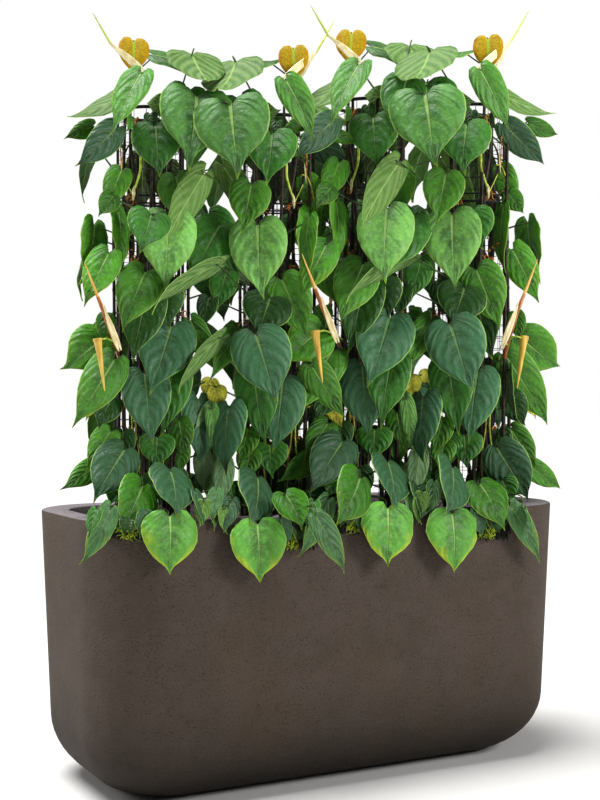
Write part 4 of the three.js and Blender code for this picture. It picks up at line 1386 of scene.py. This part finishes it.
# %% Young growth
OCHRE_LEAF = ((33, 944, 52), (35, 873, 66), 60, 0, "light")
OPEN_SHEATH = ((20, 890, 76), (84, 946, 63), 15, 0, "light")
OPEN_SIDE_SHEATH = ((64, 336, 134), (97, 424, 140), 12, 0, "light")
TOP_SHEATH = {"end": (81, 943, 60), "bend": 0.55, "radii": (1.6, 4.6, 3.8, 2.2)}
TOP_NEEDLE = {"end": (115, 1002, 60), "inside": 0.06, "radii": (2.3, 1.8, 0.6)}
SIDE_NEEDLE = {
    "start": 306,
    "bend": (86, 384, 122),
    "end": (132, 504, 128),
    "radii": (3.8, 4.4, 3.8, 2.5, 0.6),
    "pale": 0.42,
}
SIDE_SHEATH = {"from": 0.35, "bend": 0.4, "end": (92, 418, 134), "radii": (2.2, 3.4, 2.6, 0.6)}
BUD = {
    "start": 330,
    "over": (84, 350, 118),
    "top": (105, 346, 122),
    "tip": (91, 246, 122),
    "radii": (8.6, 8.8, 6.6, 4.9, 3.2, 0.9),
}


def plain_blade(leaf, seed):
    """A bmesh with one blade, both of whose sides have the piece's first material."""
    bm = new_blades()
    add_blade(bm, leaf, random.Random(seed))
    for face in bm.faces:
        face.material_index = 0
    return bm


def tube_piece(plant, name, paths, materials, node, blade=None):
    """Tubes, each with the next material, and maybe one blade with the first."""
    bm = plain_blade(blade, name) if blade else new_blades()
    for number, path in enumerate(paths):
        add_tubes(bm, [path], number, 2)
    placed_in_part(bm, plant)
    return finished(f"{name}_{plant.name}", bm, materials, [f"{node}_{plant.name}"])


def ochre_leaf(plant):
    leaf = placed_leaf(plant, OCHRE_LEAF)
    bm = plain_blade(leaf, plant.name)
    stalk = [leaf.neck, leaf.neck - leaf.out * 5, plant.crown_vine(CROWN_TOP - 2 * BELOW_TOP)]
    add_tubes(bm, [tapered(stalk, [1.4, 1.7])], 1)
    placed_in_part(bm, plant)
    node = f"ochre_leaf_{plant.name}"
    return finished(f"young_{node}", bm, [ochre, petiole_skin], [node])


def cream_sheath(plant):
    end = plant.seen(TOP_SHEATH["end"])
    foot = plant.crown_vine(CROWN_TOP - BELOW_TOP)
    sheath = [foot, plant.crown_vine(CROWN_TOP).lerp(end, TOP_SHEATH["bend"]), end]
    blade = placed_leaf(plant, OPEN_SHEATH)
    paths = [tapered(sheath, TOP_SHEATH["radii"], 6), tapered([foot, blade.neck], [1.6, 2.2])]
    return tube_piece(plant, "cream_sheath", paths, [cream, brown], "top_sheath", blade)


def lime_needle(plant):
    start, end = plant.seen(TOP_SHEATH["end"]), plant.seen(TOP_NEEDLE["end"])
    needle = [start.lerp(end, -TOP_NEEDLE["inside"]), start.lerp(end, 0.5), end]
    path = tapered(needle, TOP_NEEDLE["radii"])
    return tube_piece(plant, "lime_needle", [path], [lime], "top_needle")


def brown_shoot(plant):
    bend, end = plant.ahead(SIDE_NEEDLE["bend"]), plant.ahead(SIDE_NEEDLE["end"])
    shoot = [plant.crown_vine(SIDE_NEEDLE["start"]), bend, bend.lerp(end, 0.5), end]
    whole = tapered(shoot, SIDE_NEEDLE["radii"], 6)
    joint = round(len(whole) * (1 - SIDE_NEEDLE["pale"]))
    paths = [whole[: joint + 1], whole[joint:]]
    return tube_piece(plant, "brown_shoot", paths, [brown, peach], "side_needle")


def side_sheath(plant):
    bend, end = plant.ahead(SIDE_NEEDLE["bend"]), plant.ahead(SIDE_SHEATH["end"])
    start = plant.crown_vine(SIDE_NEEDLE["start"]).lerp(bend, SIDE_SHEATH["from"])
    sleeve = [start, start.lerp(end, SIDE_SHEATH["bend"]), end]
    blade = placed_leaf(plant, OPEN_SIDE_SHEATH, plant.fore)
    paths = [tapered(sleeve, SIDE_SHEATH["radii"], 6), tapered([start, blade.neck], [1.8, 2.0])]
    return tube_piece(plant, "side_sheath", paths, [cream, lime_stalk], "side_sheath", blade)


def rolled_bud(plant):
    top, tip = plant.ahead(BUD["top"]), plant.ahead(BUD["tip"])
    hang = tapered([plant.crown_vine(BUD["start"]), plant.ahead(BUD["over"]), top], [1.7, 1.7])
    roll = tapered([top.lerp(tip, -0.05), top.lerp(tip, 0.06), top.lerp(tip, 0.5), tip], BUD["radii"], 5)
    return tube_piece(plant, "rolled_bud", [roll, hang], [gold, lime_stalk], "leaf_bud")


YOUNG_PIECES = (ochre_leaf, cream_sheath, lime_needle, brown_shoot, side_sheath, rolled_bud)
grown_young = [make(plant) for plant in plants.values() for make in YOUNG_PIECES]
print("young pieces:", len(grown_young))

# %% [markdown]
# Side shoots and dry scraps make the stems look alive. A young shoot is lime green, a few millimetres
# thick, and ends in a pale knot. A leaf's papery sheath falls off late: it dries to an orange
# brown sliver that hangs at the joint, with short curled roots around it. All are thin tapered tubes,
# and the slivers are drawn at random about a few joints.

# %% Shoots and dry sheaths
LIME, OLIVE, KNOT, DRY = range(4)
SHOOTS = [
    # finish, radii, then points across and up
    (LIME, (2.4, 2.8, 2.6, 1.9), ((18, 722), (19, 708), (20, 686), (32, 646))),
    (LIME, (0.9, 1.0), ((34, 636), (42, 652), (52, 674))),
    (OLIVE, (1.4, 1.6, 1.3), ((50, 694), (60, 690), (68, 670), (74, 642))),
    (LIME, (1.5, 1.6, 1.4), ((40, 10), (44, 90), (36, 170), (42, 250))),
    (OLIVE, (1.2, 1.4, 1.2), ((26, 10), (20, 100), (30, 190), (22, 270))),
    (OLIVE, (1.2, 1.3, 1.0), ((-20, 60), (-28, 130), (-18, 210))),
    (KNOT, (1.0, 3.2, 3.4, 2.4, 0.8), ((31, 656), (33, 648), (33, 640), (34, 634), (34, 626))),
    (KNOT, (0.6, 1.6, 1.4, 0.5), ((55, 716), (56, 702), (57, 690), (58, 676))),
    (DRY, (0.8, 1.1, 1.4, 2.2, 0.6), ((61, 760), (60, 738), (59, 714), (58, 700), (58, 690))),
    (DRY, (1.2, 3.4, 2.8, 0.9), ((24, 794), (27, 788), (29, 780), (27, 772))),
]
SCRAPS = [
    # across and up of a joint, and how many scraps hang there
    *((33, 632, 10), (28, 786, 6), (30, 505, 14), (44, 530, 6)),
    *((-66, 398, 8), (-20, 622, 4), (40, 170, 6)),
]
SCRAP_MM, SCRAP_SPREAD = (7, 20), (-9, 9)
SHOOT_REACH, SCRAP_REACH = 79, 74

lime_shoot = mottled("lime_young_shoot", "#7f9a1e", "#b9cc4e", 9, 0.4, 0.2)
olive_shoot = mottled("olive_petiole", "#6f7a1c", "#b3a83a", 14, 0.45, 0.2)
pale_knot = mottled("pale_shoot_knot", "#a9a566", "#ddd6a6", 4, 0.5, 0.3)
dry_sheath = mottled("dry_orange_sheath", "#6b3513", "#cc8a34", 7, 0.6, 0.5)


def scrap_paths(plant, across, up, count, rng):
    """Dry slivers and curled roots about a joint."""
    paths = []
    for _ in range(count):
        spot = (across + rng.uniform(*SCRAP_SPREAD), up + rng.uniform(*SCRAP_SPREAD))
        start = on_column(plant, *spot, SCRAP_REACH)
        size = rng.uniform(*SCRAP_MM)
        bend = start + Vector((rng.uniform(-0.4, 0.4), -0.2, rng.uniform(-0.5, 0.2))) * size
        end = bend + Vector((rng.uniform(-0.7, 0.7), 0.1, rng.uniform(-0.6, 0.1))) * size
        paths.append(tapered([start, bend, end], [0.9, rng.uniform(0.8, 1.5), 0.3], 3))
    return paths


for plant in plants.values():
    rng = random.Random(f"scraps {plant.name}")
    bm = bmesh.new()
    for number, radii, spots in SHOOTS:
        points = [on_column(plant, across, up, SHOOT_REACH) for across, up in spots]
        add_tubes(bm, [tapered(points, radii, 3)], number)
    for across, up, count in SCRAPS:
        add_tubes(bm, scrap_paths(plant, across, up, count, rng), DRY, 0)
    placed_in_part(bm, plant)
    finishes = [lime_shoot, olive_shoot, pale_knot, dry_sheath]
    finished(f"shoots_{plant.name}", bm, finishes)
print("shoots a plant:", len(SHOOTS), "and scraps:", sum(count for *_, count in SCRAPS))

# %% [markdown]
# Many leaves are too small or too hidden for the CAD: young ones low on the stems and at the rim, and
# shaded ones behind the mesh, which fill the view through its windows with dull olive green. They grow
# here as the others do, from the nearest vine.

# %% Small leaves
SMALL_LEAVES = [
    ((-36, 816, 92), (8, 822, 96), 46, 180, "band"),
    ((88, 396, 70), (96, 340, 76), 38, 0, "green"),
    ((-130, 224, 56), (-114, 110, 74), 32, 0, "light"),
    ((-122, 268, 40), (-112, 228, 46), 40, 0, "lime"),
    ((-136, 448, 30), (-148, 384, 36), 42, 10, "deep"),
    ((-120, 88, 40), (-130, 26, 52), 44, 150, "pale"),
    ((-92, 74, 44), (-84, 16, 56), 44, -10, "dark"),
    ((0, 800, 84), (-4, 766, 92), 28, 0, "deep"),
    ((38, 794, 72), (48, 764, 78), 24, 50, "mid"),
    ((16, 74, 82), (10, 6, 92), 52, 0, "deep"),
    ((-44, 152, 74), (-52, 80, 84), 54, 0, "dark"),
    ((-50, 84, 72), (-58, 16, 82), 50, 0, "deep"),
    ((54, 164, 70), (60, 96, 80), 52, 0, "deep"),
]
SMALL_RIM_LEAVES = [
    ((8, 4, 8), (20, -50, 12), 34, 0, "round"),
    ((108, 8, 34), (122, -50, 44), 30, -55, "dark"),
    ((-108, 24, 4), (-100, -26, 10), 32, 150, "pale"),
    ((-90, 44, -20), (-106, -22, 14), 36, 30, "round"),
    ((-132, 46, -16), (-124, -18, 12), 30, -20, "grey"),
    # The last four are near-black leaflets, painted shade under the lowest leaves.
    ((22, -12, 5), (17, -44, 10), 26, 20, "deep"),
    ((36, -12, 5), (40, -42, 10), 24, -25, "shade"),
    ((50, -10, 4), (55, -42, 8), 27, 15, "deep"),
    ((66, -6, 3), (66, -32, 7), 20, -10, "shade"),
]
BEHIND_LEAVES = [
    # height of the neck, length, bearing, width
    (806, 60, 176, 44),
    (728, 112, 164, 78),
    (712, 96, 196, 66),
    (640, 84, 150, 58),
    (590, 92, 182, 66),
    (524, 90, 170, 64),
    (474, 84, 206, 56),
    (430, 90, 160, 62),
    (340, 84, 190, 60),
    (300, 90, 156, 62),
    (200, 90, 172, 64),
    (150, 84, 200, 58),
]
BEHIND_REACH = 84
BEHIND_SLOPE, BEHIND_TURN = 0.06, 14
LOWEST_JOINT = 30


def leaf_behind(plant, height, length, bearing, wide):
    """A leaf that hangs close behind the mesh."""
    spec = {
        "height": height,
        "length": length,
        "bearing": plant.hand * bearing,
        "reach": BEHIND_REACH,
        "slope": BEHIND_SLOPE,
        "wide": wide,
        "turn": BEHIND_TURN,
        "tone": "shade",
    }
    return back_leaf(plant, spec)


def nearest_vine(plant, spot):
    """The number of the vine whose axis passes nearest to a point."""
    heights = [min(max(spot.z, LOWEST_JOINT), top - BELOW_TOP) for top in plant.tops]
    gaps = [(plant.vine(index, height) - spot).length for index, height in enumerate(heights)]
    return gaps.index(min(gaps))


for plant in plants.values():
    rng = random.Random(f"small {plant.name}")
    bm = new_blades()
    leaves = [placed_leaf(plant, spec) for spec in SMALL_LEAVES]
    leaves += [placed_leaf(plant, spec, over_rim=True) for spec in SMALL_RIM_LEAVES]
    leaves += [leaf_behind(plant, *spec) for spec in BEHIND_LEAVES]
    for leaf in leaves:
        add_blade(bm, leaf, rng)
    roots = [petiole_root(plant, nearest_vine(plant, leaf.neck), leaf.neck) for leaf in leaves]
    add_tubes(bm, [petiole_path(plant, leaf, root) for leaf, root in zip(leaves, roots)], PETIOLE)
    placed_in_part(bm, plant)
    finished(f"small_leaves_{plant.name}", bm, foliage)
print("small leaves a plant:", len(SMALL_LEAVES) + len(SMALL_RIM_LEAVES) + len(BEHIND_LEAVES))

# %% [markdown]
# Under the lowest leaves near-black strands hang over the rim, painted shade for the shadow there, and
# yellow-green moss hangs at their ends. A sheet with a bumpy finish would end in a hard line, so they
# are many short thin strands, drawn at random between the edge of the rim and a band below it. Where the
# trough's corner turns away from them they are moved back with it.

# %% Moss on the rim
MOSS_ACROSS = (10, 74)
MOSS_GREEN_ACROSS = (12, 44)
MOSS_ENDS = (-34, -58)
DARK_STRANDS, GREEN_STRANDS = 130, 45
DARK_RADII, GREEN_RADII = (2.0, 3.2, 0.8), (0.8, 1.3, 0.4)

# Painted shade: near-black strands that stand for the shadow under the lowest leaves.
shade_strand_finish = mottled("shaded_root_felt", "#030302", "#0e1206", 5, 0.9, 0.4)
green_moss = mottled("yellow_green_moss", "#48620e", "#93a026", 4, 0.85, 0.4)


def moss_strands(plant, rng):
    """Dark strands of painted shade from the rim's edge down, and green ones of moss at the lower ends.
    """
    edge = (TROUGH["height"] / MM - SOIL_TOP) / plant.size - plant.lift
    depth = 1 - TROUGH["depth"] / 2 / MM / PLANT_DISTANCE
    edge = plant.eye.z + (edge - plant.eye.z) / depth
    dark, green = [], []
    for _ in range(DARK_STRANDS):
        x, low = rng.uniform(*MOSS_ACROSS), rng.uniform(MOSS_ENDS[1], MOSS_ENDS[0])
        spots = [(x, edge + 14, -6), (x, edge + 4, 4), (x + rng.uniform(-9, 9), low, rng.uniform(3, 7))]
        dark.append(tapered([plant.seen(spot, True) for spot in spots], DARK_RADII, 3))
    for _ in range(GREEN_STRANDS):
        x, low = rng.uniform(*MOSS_GREEN_ACROSS), rng.uniform(*MOSS_ENDS[::-1])
        size = rng.uniform(7, 15)
        spots = [(x, low + size, 4), (x + rng.uniform(-5, 5), low + size / 2, 8)]
        spots.append((x + rng.uniform(-9, 9), low, rng.uniform(4, 9)))
        green.append(tapered([plant.seen(spot, True) for spot in spots], GREEN_RADII, 2))
    return dark, green


def drawn_round_the_corner(bm):
    """Strands that hang in front of a round corner of the trough are moved back onto it."""
    corner = TROUGH["corner"]
    straight = TROUGH["length"] / 2 - corner
    for vertex in bm.verts:
        past = min(abs(vertex.co.x) - straight, corner)
        if past > 0:
            vertex.co.y += corner - math.sqrt(corner**2 - past**2)


for plant in plants.values():
    rng = random.Random(f"moss {plant.name}")
    dark, green = moss_strands(plant, rng)
    bm = bmesh.new()
    add_tubes(bm, dark, 0, 0)
    add_tubes(bm, green, 1, 0)
    placed_in_part(bm, plant)
    drawn_round_the_corner(bm)
    finished(f"rim_moss_{plant.name}", bm, [shade_strand_finish, green_moss])
print("strands a plant:", DARK_STRANDS + GREEN_STRANDS)

# %% Bounds of the CAD and of the scene
new_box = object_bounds()
for low, high in (cad_box, new_box):
    print("box", [round(float(v), 4) for v in (*low, *high)])
